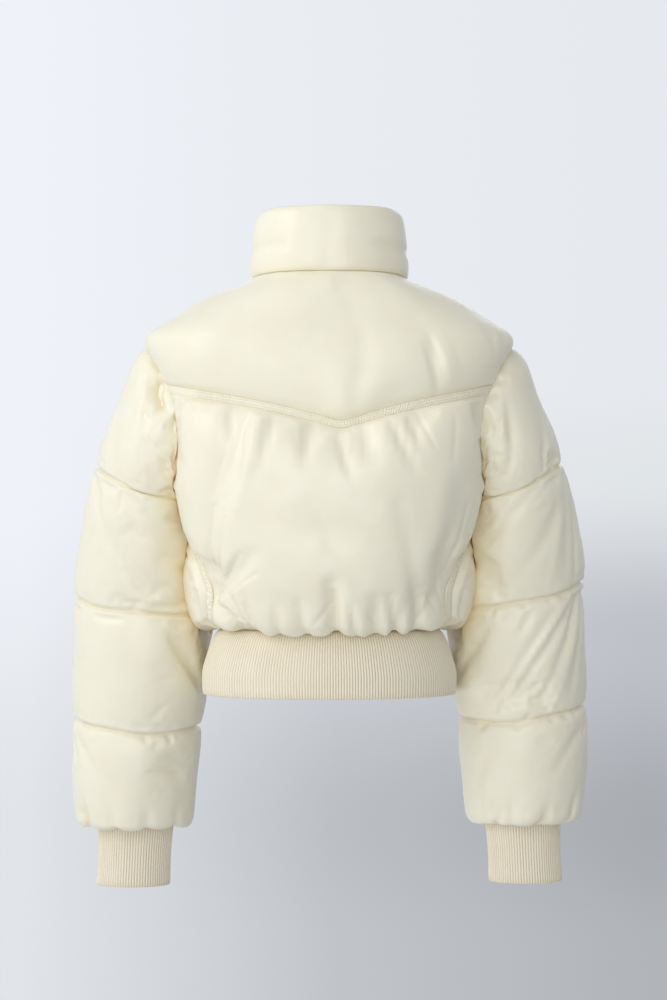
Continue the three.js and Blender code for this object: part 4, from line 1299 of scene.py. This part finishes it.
def rib_tube(name, point_at, height, ribs, closed, seed):
    """A rib knit band. point_at gives its plain outer face from a height fraction and a place round it."""
    per_rib, rows = 6, 26
    columns = ribs * per_rib
    around = np.arange(columns) / columns if closed else np.linspace(0, 1, columns + 1)
    f = np.linspace(0, 1, rows)[:, None]
    wander = 0.25 * line_noise(around * 900, 40, seed)[None] * np.sin(math.pi * f)
    phase = around[None] * ribs + wander
    rise = rib_profile(phase)
    ends = smooth(0, 0.05, f) * (1 - 0.35 * smooth(0.93, 1, f))
    base, away = point_at(f + 0 * around[None], around[None] + 0 * f)
    outer = base + away * (RIB_RAISE * rise * ends)[..., None]
    slip, drop = roll_over(5, RIB_WALL)
    last = outer[-1:]
    rolled = last - away[-1:] * slip[:, None, None]
    rolled[..., 2] -= drop[:, None]
    grid = np.concatenate([outer, rolled])
    # Painted shade: darker down between the ribs and towards the top and bottom edges, and round the rolled
    # edge
    painted_shade = np.concatenate([1 - rise * (0.4 + 0.6 * ends), np.repeat(1 - rise[-1:], len(slip), axis=0)])
    skip = 2 * per_rib if columns % (2 * per_rib) == 0 else per_rib
    inner = (base - away * RIB_WALL)[::5, ::skip]
    way = np.stack([
        np.broadcast_to(around[None] * ribs * 0.0033, grid.shape[:2]),
        np.broadcast_to(np.linspace(0, 1, len(grid))[:, None] * height * MM, grid.shape[:2]),
    ], axis=-1)
    return grid, inner, painted_shade, way


def make_cuff(sign):
    lift = 1 if sign > 0 else 0
    end = SLEEVE_RINGS[-1]
    middle = (end["out_x"] + end["in_x"]) / 2
    top = (end["out_z"] + end["in_z"]) / 2 + lift * (end["lift_out"] + end["lift_in"]) / 2 - 1.2
    start_width = (end["out_x"] - end["in_x"]) / 2

    def point_at(f, around):
        angle = 2 * math.pi * around
        width = mix(start_width, CUFF["end_half_width"], f)
        depth = mix(end["depth"], CUFF["end_half_depth"], f)
        waist = 1 - 0.03 * np.sin(math.pi * f)
        x = sign * (middle + CUFF["end_shift"] * f + width * waist * np.cos(angle))
        point = np.stack([x, end["y"] - depth * waist * np.sin(angle), top - CUFF["height"] * f], axis=-1)
        away = np.stack([sign * np.cos(angle), -np.sin(angle), 0 * angle], axis=-1)
        return point, away

    name = "cuff_" + ("right" if sign > 0 else "left")
    grid, inner, painted_shade, way = rib_tube(name, point_at, CUFF["height"], CUFF_RIBS, True, 5 + lift)
    plain = sign < 0
    piece = wall_mesh(name + "_knit", grid, inner, True, plain, uv=way.reshape(-1, 2), painted_shade=painted_shade.ravel())
    finish_piece(piece, KNIT, [name])


def make_hem_rib():
    def point_at(f, around):
        down = HEM_RIB_HEIGHT * f
        edge = math.pi - (ZIP_HALF + SEAM_GAP / 2) / hem_rib["front"](down)
        turn = mix(-edge, edge, around)
        r = oval_radius(turn, hem_rib["side"](down), hem_rib["back"](down), hem_rib["front"](down), 2.2)
        z = COLLAR_SEAM_Z - HEM_DOWN - SEAM_GAP - down * (1 - SEAM_GAP / HEM_RIB_HEIGHT)
        point = np.stack([r * np.sin(turn), -r * np.cos(turn), z], axis=-1)
        return point, np.stack([np.sin(turn), -np.cos(turn), 0 * turn], axis=-1)

    grid, inner, painted_shade, way = rib_tube("hem_rib", point_at, HEM_RIB_HEIGHT, HEM_RIBS, False, 3)
    piece = wall_mesh("hem_rib_knit", grid, inner, False, False, uv=way.reshape(-1, 2), painted_shade=painted_shade.ravel())
    finish_piece(piece, KNIT, ["hem_rib"])


make_cuff(-1)
make_cuff(1)
make_hem_rib()


# Flat bands sewn over the yoke seam and down the side seams
BAND = {"low": 0.3, "height": 1.6, "edge": -0.8, "end": 2.0, "stitch_in": 2.2}
STITCH = {
    "pitch": 2.7, "length": 1.9, "radius": 0.28, "lift": 0.1,
    "levels": ((0.0, 0.55), (0.22, 1.0), (0.78, 1.0), (1.0, 0.55)),
}
BAND_ROWS = 13


def yoke_band_point(u, across):
    down, edge_turn = armhole_at(BACK_CORNER + u * BAND_ANGLE)
    fall = (down - YOKE_END_DOWN) / (HEM_DOWN - YOKE_END_DOWN)
    corner_turn = armhole_at(BACK_CORNER)[1]
    down = mix(yoke_seam_down(across), HEM_DOWN, fall)
    return down, across * corner_turn + (edge_turn - corner_turn) * np.sign(across) * across ** 4


def side_band_point(u, down):
    edge_turn = side_turn(down)
    even = mix(FRONT_EVEN_TURN, edge_turn, smooth(ARMHOLE["bottom"] - 30, 300, down))
    column = 1 - FRONT_LAST_COLUMN * (1 - u)
    return down, mix(zip_turn(down), even, column) + (edge_turn - even) * column ** 4


def make_band(name, point_at, ends, sign, ridges, pitch, seed, lean=0.0, flat_until=None, knot=None):
    """A raised strip. point_at gives its place on the body from a width fraction and a way along it."""
    coarse = np.linspace(*ends, 200)
    way = lengths_along(body_point(*point_at(0.5, coarse)), 0)
    inset = np.linspace(BAND["end"], way[-1] - BAND["end"], round(way[-1] / 0.45))
    along = np.interp(inset, way, coarse)[None]
    width = np.linalg.norm(body_point(*point_at(1.0, along)) - body_point(*point_at(0.0, along)), axis=-1)
    f = np.linspace(0, 1, BAND_ROWS)[:, None]
    u = mix(BAND["edge"] / width, 1 - BAND["edge"] / width, f)
    down, turn = point_at(u, along + 0 * u)
    normals = body_normal(down, turn)
    base = body_point(down, turn)
    from_edge = np.minimum(f, 1 - f) * (width - 2 * BAND["edge"])
    s = inset[None] + 0.5 * (f - 0.5) * width * np.sin(inset[None] / 37)
    drift = 1.3 * line_noise(s, 9, seed)
    ridge = np.sin(2 * math.pi * (s + drift) / pitch) * (0.7 + 0.5 * line_noise(s, 14, seed + 1))
    sewn = np.exp(-((from_edge - BAND["stitch_in"]) / 0.45) ** 2)
    full = np.ones_like(along) if flat_until is None else smooth(flat_until - 0.03, flat_until + 0.01, along)
    top = mix(0.5, BAND["height"] + lean * (1 - f), full)
    height = top * (1 - (1 - np.clip(from_edge / 0.8, 0, 1)) ** 2) ** 0.5
    height = BAND["low"] + height + full * ridges * ridge * smooth(0, 1.0, from_edge) * (1 - 0.5 * sewn)
    height += full * (0.5 * line_noise(s, 26, seed + 2) * smooth(0, 2, from_edge) - 0.45 * sewn)
    if knot is not None:
        bunch = np.exp(-((along - knot) / 9) ** 2)
        lumps = noise(np.stack([f * width, s + 0 * f, 0 * s * f], axis=-1), 3.2, seed + 5)
        height = height + bunch * smooth(0, 1.5, from_edge) * (1.2 + 1.7 * lumps)
    outer = base + normals * height[..., None]
    under = (base + normals * BAND["low"] * 0.5)[::3]
    inner = np.concatenate([under[:, ::8][:, :-1], under[:, -1:]], axis=1)
    # Painted shade along the band's edges, its stitch lines and the troughs between its ridges
    painted_shade = np.clip(0.2 * np.exp(-from_edge / 0.8) + 0.08 * sewn + 0.04 * full * np.clip(-ridge, 0, 1), 0, 1)
    mirror = np.array([sign, 1, 1])
    outer, inner, normals = outer * mirror, inner * mirror, normals * mirror
    uv = np.stack([f * width, inset[None] + 0 * f], axis=-1) * MM
    piece = wall_mesh(
        name + "_strip", outer, inner, False, faces_out(outer, normals),
        uv=uv.reshape(-1, 2), painted_shade=painted_shade.ravel())
    finish_piece(piece, BAND_CLOTH, [name])
    return outer, normals, width, inset


def capsule(start, end, radius, sides=6):
    """A rounded stitch from one point to another, as points and faces."""
    along = unit(end - start)
    across = unit(np.cross(along, [0.31, 0.52, 0.79]))
    third = np.cross(along, across)
    turns = 2 * math.pi * np.arange(sides) / sides
    ring = across * np.cos(turns)[:, None] + third * np.sin(turns)[:, None]
    levels = STITCH["levels"]
    points = np.concatenate([mix(start, end, f) + ring * radius * wide for f, wide in levels])
    faces = [[sides - 1 - k for k in range(sides)]]
    for level in range(len(levels) - 1):
        low, high = level * sides, (level + 1) * sides
        faces += [[low + k, low + (k + 1) % sides, high + (k + 1) % sides, high + k] for k in range(sides)]
    faces.append([(len(levels) - 1) * sides + k for k in range(sides)])
    return points, faces


def stitch_row(outer, normals, row, inset, first):
    """Stitches along one row of a band, each dipping into the cloth at its ends."""
    pieces = []
    line, out = outer[row], normals[row]
    for start in np.arange(first, inset[-1] - inset[0] - 2, STITCH["pitch"]):
        ends = [inset[0] + start, inset[0] + start + STITCH["length"]]
        place = np.stack([np.interp(ends, inset, line[:, k]) for k in range(3)], axis=-1)
        lift = np.stack([np.interp(ends, inset, out[:, k]) for k in range(3)], axis=-1)
        place = place + unit(lift) * STITCH["lift"]
        pieces.append(capsule(place[0], place[1], STITCH["radius"]))
    return pieces


def join_parts(name, parts, look, nodes=(), body_name="garment"):
    points, faces, count = [], [], 0
    for part_points, part_faces in parts:
        faces += [[count + i for i in face] for face in part_faces]
        points.append(part_points)
        count += len(part_points)
    piece = new_mesh(name, np.concatenate(points) * MM, faces)
    return finish_piece(piece, look, nodes, body_name)


def make_stitches(name, band, first):
    """Two rows of stitches, one along each edge of a band, from a place near its start."""
    outer, normals, width, inset = band
    last_row = BAND_ROWS - 1
    row = int(np.clip(round(BAND["stitch_in"] / float(np.median(width)) * last_row), 1, last_row - 1))
    join_parts(name, [
        part for r in (row, last_row - row) for part in stitch_row(outer, normals, r, inset, first)
    ], THREAD)


def make_bands():
    yoke_band = make_band(
        "yoke_band", yoke_band_point, (-1.0, 1.0), 1, 0.36, 3.0, 21, lean=1.0, flat_until=-0.78)
    make_stitches("yoke_stitches", yoke_band, 40.0)
    side_ends = (ARMHOLE["bottom"] + 2, HEM_DOWN - 1)
    right_band = make_band("side_band_right", side_band_point, side_ends, 1, 0.3, 4.6, 31)
    make_stitches("side_stitches_right", right_band, 2.0)
    make_band("side_band_left", side_band_point, side_ends, -1, 0.42, 5.0, 41, knot=354.0)


make_bands()


# Zip
TAPE_STRIP = {"from": 2.8, "to": 4.3, "low": -1.4, "high": 0.2, "bead": 0.5}
TEETH = {"half": 2.5, "low": -1.5, "high": 0.9, "pitch": 2.9, "length": 1.75, "past_middle": 0.9}
ZIP_TOP_INSET = 5.0
SLIDER = {"width": 9.0, "height": 13.0, "thickness": 2.2, "below_top": 13.0, "bridge_width": 2.4}
BRIDGE = {"hole": 2.0, "bar": 1.5, "foot": 0.5}
PULL = {"width": 7.0, "length": 30.0, "thickness": 1.4, "bar_half": 0.9, "slot_half": 1.75, "slot_end": 4.3}


def zip_line():
    """The zip's middle line from its top end down, one point for each millimetre, and its normals."""
    heights = np.linspace(1 - ZIP_TOP_INSET / COLLAR_HEIGHT["front"], 0, 60)[:-1]
    downs = np.linspace(0, HEM_DOWN, 300)
    rib_downs = np.linspace(0, HEM_RIB_HEIGHT, 60)[1:]
    rib = np.stack([
        0 * rib_downs, hem_rib["front"](rib_downs), COLLAR_SEAM_Z - HEM_DOWN - rib_downs], axis=-1)
    points = np.concatenate([
        collar_point(heights, np.full_like(heights, math.pi)),
        body_point(downs, np.full_like(downs, math.pi)),
        rib,
    ])
    points[:, 0] = 0
    way = lengths_along(points, 0)
    even = np.linspace(0, way[-1], round(way[-1]) + 1)
    points = np.stack([np.interp(even, way, points[:, k]) for k in range(3)], axis=-1)
    for _ in range(3):
        points[1:-1] = (points[:-2] + 2 * points[1:-1] + points[2:]) / 4
    along = np.gradient(points, axis=0)
    normals = unit(np.stack([0 * even, -along[:, 2], along[:, 1]], axis=-1))
    return even, points, normals


zip_way, zip_points, zip_normals = zip_line()


def zip_place(way, x, height):
    point = np.stack([np.interp(way, zip_way, zip_points[:, k]) for k in range(3)], axis=-1)
    normal = np.stack([np.interp(way, zip_way, zip_normals[:, k]) for k in range(3)], axis=-1)
    return point + normal * np.asarray(height)[..., None] + np.stack([x, 0 * x, 0 * x], axis=-1)


def make_tape(sign):
    """One zip tape, with the corded edge that its teeth are fixed to."""
    name = "zip_tape_" + ("right" if sign > 0 else "left")
    f = np.linspace(0, 1, 11)[None]
    bead = TAPE_STRIP["bead"] * np.exp(-((f - 0.15) / 0.16) ** 2)
    x = sign * mix(TAPE_STRIP["from"], TAPE_STRIP["to"], f)
    rib = 0.07 * np.sin(2 * math.pi * zip_way / 2.0)[:, None]
    height = TAPE_STRIP["high"] - 0.3 + bead + rib
    outer = zip_place(zip_way[:, None] + 0 * f, x + 0 * zip_way[:, None], height)
    few_f, few_x, few_way = f[:, ::5], x[:, ::5], zip_way[::6, None]
    low = TAPE_STRIP["low"] + 0 * few_f * few_way
    inner = zip_place(few_way + 0 * few_f, few_x + 0 * few_way, low)
    inner[-1] = zip_place(zip_way[-1:, None] + 0 * few_f, few_x, low[:1])[0]
    piece = wall_mesh(name + "_weave", outer, inner, False, sign > 0)
    finish_piece(piece, TAPE, [name])


def tooth(middle, sign):
    """One moulded tooth: a foot on the tape and a round head past the middle."""
    half = TEETH["length"] / 2
    outline = [
        (TEETH["half"], 0.8), (1.2, 0.8), (0.2, 1.0), (-TEETH["past_middle"] + 0.35, 0.95),
        (-TEETH["past_middle"], 0.45),
    ]
    sides = [(x, w * half) for x, w in outline] + [(x, -w * half) for x, w in outline[::-1]]
    centre = np.array([0.9, 0.0])
    points = []
    for height, shrink in (
        (TEETH["low"], 0.86), (TEETH["low"] + 0.3, 1.0), (TEETH["high"] - 0.35, 1.0), (TEETH["high"], 0.84),
    ):
        ring = centre + (np.array(sides) - centre) * shrink
        points.append(zip_place(middle + ring[:, 1], sign * ring[:, 0], np.full(len(ring), height)))
    count = len(sides)
    faces = [list(range(count))[::-1]]
    for level in range(3):
        low, high = level * count, (level + 1) * count
        faces += [[low + k, low + (k + 1) % count, high + (k + 1) % count, high + k] for k in range(count)]
    faces.append([3 * count + k for k in range(count)])
    if sign > 0:
        faces = [face[::-1] for face in faces]
    return np.concatenate(points), faces


def outline_part(outlines, thickness, bevel, place):
    """A rounded plate from flat outlines, the later ones cut out of it, moved by the function place."""
    data = bpy.data.curves.new("outline", "CURVE")
    data.dimensions = "2D"
    data.fill_mode = "BOTH"
    data.extrude = thickness / 2 - bevel
    data.bevel_depth = bevel
    data.bevel_resolution = 3
    data.offset = -bevel
    for outline in outlines:
        spline = data.splines.new("POLY")
        spline.points.add(len(outline) - 1)
        for point, (x, y) in zip(spline.points, outline):
            point.co = (x, y, 0, 1)
        spline.use_cyclic_u = True
    drawn = bpy.data.objects.new("outline", data)
    bpy.context.scene.collection.objects.link(drawn)
    mesh = bpy.data.meshes.new_from_object(drawn.evaluated_get(bpy.context.evaluated_depsgraph_get()))
    points = np.empty(len(mesh.vertices) * 3)
    mesh.vertices.foreach_get("co", points)
    faces = [list(polygon.vertices) for polygon in mesh.polygons]
    bpy.data.objects.remove(drawn)
    bpy.data.curves.remove(data)
    bpy.data.meshes.remove(mesh)
    return place(points.reshape(-1, 3)), faces


def arc(centre, radius, start, end, count):
    turns = np.linspace(start, end, count) * DEG
    return [(centre[0] + radius * math.cos(t), centre[1] + radius * math.sin(t)) for t in turns]


def make_zip():
    make_tape(-1)
    make_tape(1)
    middles = np.arange(TEETH["length"], zip_way[-1] - TEETH["length"], TEETH["pitch"] / 2)
    join_parts("zip_teeth_moulded", [
        tooth(middle, 1 if k % 2 else -1) for k, middle in enumerate(middles)
    ], RESIN, ["zip_teeth"])

    seat = collar_point(np.array(1 - SLIDER["below_top"] / COLLAR_HEIGHT["front"]), np.array(math.pi))
    plate_y = float(seat[1]) + TEETH["high"] + 1
    seat_z = float(seat[2])
    hinge_y = plate_y + SLIDER["thickness"] + BRIDGE["hole"]

    def upright(y):
        return lambda p: np.stack([p[:, 0], y - p[:, 2], seat_z + p[:, 1]], axis=-1)

    w, h = SLIDER["width"] / 2, SLIDER["height"] / 2
    plate = arc((w - 2.2, h - 2.2), 2.2, 0, 90, 7) + arc((-w + 2.2, h - 2.2), 2.2, 90, 180, 7)
    plate += [(-w, h - 6)] + arc((-w + 2.6, -h + 1.4), 1.4, 180, 270, 6)
    plate += arc((w - 2.6, -h + 1.4), 1.4, 270, 360, 6) + [(w, h - 6)]
    rail = [
        (-w, h - 3), (-w, h - 6), (-w + 1.2, -h + 1.6),
        (-w + 2.0, -h + 1.6), (-w + 0.9, h - 6), (-w + 0.9, h - 3),
    ]
    other_rail = [(-x, y) for x, y in rail[::-1]]
    hole, reach = BRIDGE["hole"], BRIDGE["hole"] + BRIDGE["bar"]
    foot = -hole - BRIDGE["foot"]
    arch = arc((0, 0), reach, -90, 90, 13) + [(foot, reach), (foot, hole)]
    arch += arc((0, 0), hole, 90, -90, 13) + [(foot, -hole), (foot, -reach)]
    join_parts("zip_slider_body", [
        outline_part([plate], SLIDER["thickness"], 0.45, upright(plate_y + SLIDER["thickness"] / 2)),
        outline_part([rail], 1.2, 0.2, upright(plate_y + 0.1)),
        outline_part([other_rail], 1.2, 0.2, upright(plate_y + 0.1)),
        outline_part([arch], SLIDER["bridge_width"], 0.4, lambda p: np.stack(
            [p[:, 2], hinge_y + p[:, 0], seat_z + p[:, 1]], axis=-1)),
    ], METAL, ["zip_slider"])

    half = PULL["width"] / 2
    tab = [(half, PULL["bar_half"] - 0.8), (half - 0.8, PULL["bar_half"])]
    tab += [(-half + 0.8, PULL["bar_half"]), (-half, PULL["bar_half"] - 0.8)]
    tab += arc((0, half - PULL["length"]), half, 180, 360, 19)
    s, low, high = PULL["slot_half"], -PULL["slot_end"], -PULL["bar_half"]
    slot = [(s, high), (s, low + 0.5), (s - 0.5, low), (-s + 0.5, low), (-s, low + 0.5), (-s, high)]
    grip_end = half - PULL["length"]
    grip = arc((0, grip_end), half - 1.3, 180, 360, 15) + arc((0, low - 4.4), half - 1.3, 0, 180, 15)
    join_parts("zip_pull_tab", [
        outline_part([tab, slot], PULL["thickness"], 0.35, upright(hinge_y)),
        outline_part([grip], PULL["thickness"] + 0.5, 0.25, upright(hinge_y)),
    ], METAL, ["zip_pull"], body_name="zip_pull")


make_zip()


# Studio: a pale backdrop that glows with painted light, brighter on the left and darker low on the right,
# with the key light from the left
CAMERA = {"distance": 3.2, "x": 0.0046, "z": -0.253, "frame_height": 1.1}
FLOOR_Z = -2.1
STUDIO = {"flat": 4.6, "bend": 1.0, "top": 6.0}
LIGHTS = [
    {"name": "key", "place": (-2.6, -1.6, 1.3), "target": (0, 0, -0.25), "size": (1.2, 2.0), "power": 18},
    {"name": "broad", "place": (-0.25, -2.6, 0.1), "target": (0, 0, -0.3), "size": (1.8, 1.8), "power": 18},
    {"name": "top", "place": (-0.6, -0.4, 2.4), "target": (0, 0, -0.2), "size": (1.6, 1.6), "power": 6},
    {"name": "front_fill", "place": (0.4, 3.2, 0.6), "target": (0, 0, -0.3), "size": (1.6, 1.6), "power": 6},
]


def make_camera():
    data = bpy.data.cameras.new("camera")
    data.sensor_width = 36
    data.lens = data.sensor_width * CAMERA["distance"] / CAMERA["frame_height"]
    camera = bpy.data.objects.new("camera", data)
    camera.location = (CAMERA["x"], -CAMERA["distance"], CAMERA["z"])
    camera.rotation_euler = (90 * DEG, 0, 0)
    bpy.context.scene.collection.objects.link(camera)
    bpy.context.scene.camera = camera


def make_studio():
    """A floor that sweeps up into a round wall. It glows with painted light, brighter on the left and darker
    low on the right, and diffuse rays don't see it.
    """
    flat, bend, top = STUDIO["flat"], STUDIO["bend"], STUDIO["top"]
    profile = [(0, 0), (flat, 0)]
    profile += [
        (flat + bend * math.sin(a), bend - bend * math.cos(a)) for a in np.linspace(0.15, math.pi / 2, 14)
    ]
    profile += [(flat + bend, top)]
    turns = np.linspace(0, 2 * math.pi, 73)[:-1]
    rings = np.array([
        [(r * math.cos(t), r * math.sin(t), FLOOR_Z + z) for t in turns] for r, z in profile[1:]
    ])
    count = len(turns)
    points = np.concatenate([[(0, 0, FLOOR_Z)], rings.reshape(-1, 3)])
    faces = [(0, 1 + i, 1 + (i + 1) % count) for i in range(count)]
    index = 1 + np.arange(len(rings) * count).reshape(len(rings), count)
    faces += grid_faces(index, True, False).tolist()
    sweep = new_mesh("studio_floor", points, faces)
    made = bpy.data.materials.new("studio")
    made.use_nodes = True
    nodes, links = made.node_tree.nodes, made.node_tree.links
    nodes.clear()
    place = nodes.new("ShaderNodeTexCoord")
    apart = nodes.new("ShaderNodeSeparateXYZ")
    links.new(place.outputs["Object"], apart.inputs["Vector"])
    across = add_node(nodes, "ShaderNodeMapRange", From_Min=-0.92, From_Max=0.93)
    up = add_node(nodes, "ShaderNodeMapRange", From_Min=-1.6, From_Max=0.1)
    links.new(apart.outputs["X"], across.inputs["Value"])
    links.new(apart.outputs["Z"], up.inputs["Value"])
    share = colour_ramp(nodes, ((0.0, (0, 0, 0)), (0.5, (0.7, 0.7, 0.7)), (1.0, (1, 1, 1))))
    links.new(across.outputs["Result"], share.inputs["Fac"])
    # Painted light and shade on the backdrop: brighter on the left, darker low on the right
    left = colour_ramp(nodes, ((0.2, linear(225, 228, 232)), (0.8, linear(239, 242, 248))))
    right = colour_ramp(nodes, (
        (0.0, linear(177, 180, 184)),
        (0.22, linear(169, 172, 177)),
        (0.55, linear(190, 193, 199)),
        (0.84, linear(225, 229, 232)),
        (1.0, linear(230, 233, 237)),
    ))
    for ramp in (left, right):
        ramp.color_ramp.interpolation = "EASE"
        links.new(up.outputs["Result"], ramp.inputs["Fac"])
    blend = nodes.new("ShaderNodeMix")
    blend.data_type = "RGBA"
    links.new(share.outputs["Color"], blend.inputs[0])
    links.new(left.outputs["Color"], blend.inputs[6])
    links.new(right.outputs["Color"], blend.inputs[7])
    painted_backdrop_glow = nodes.new("ShaderNodeEmission")
    links.new(blend.outputs[2], painted_backdrop_glow.inputs["Color"])
    out = nodes.new("ShaderNodeOutputMaterial")
    links.new(painted_backdrop_glow.outputs["Emission"], out.inputs["Surface"])
    sweep.data.materials.append(made)
    sweep.visible_diffuse = False


def make_light(name, place, target, size, power):
    data = bpy.data.lights.new(name, "AREA")
    data.shape = "RECTANGLE"
    data.size, data.size_y = size
    data.energy = power
    light = bpy.data.objects.new(name, data)
    light.location = place
    to = np.array(target) - np.array(place)
    tilt = math.acos(-to[2] / np.linalg.norm(to))
    light.rotation_euler = (tilt, 0, math.atan2(to[1], to[0]) - math.pi / 2)
    bpy.context.scene.collection.objects.link(light)


def make_world():
    """Soft light from all round, stronger from the left."""
    world = bpy.data.worlds.new("studio_world")
    bpy.context.scene.world = world
    world.use_nodes = True
    nodes, links = world.node_tree.nodes, world.node_tree.links
    sky = nodes["Background"]
    sky.inputs["Color"].default_value = (*linear(236, 239, 244), 1)
    direction = nodes.new("ShaderNodeTexCoord")
    apart = nodes.new("ShaderNodeSeparateXYZ")
    links.new(direction.outputs["Generated"], apart.inputs["Vector"])
    strength = add_node(nodes, "ShaderNodeMapRange", From_Min=-1.0, From_Max=1.0, To_Min=1.05, To_Max=0.37)
    links.new(apart.outputs["X"], strength.inputs["Value"])
    links.new(strength.outputs["Result"], sky.inputs["Strength"])


make_camera()
make_studio()
for light in LIGHTS:
    make_light(**light)
make_world()
bpy.context.scene.view_settings.view_transform = "Standard"
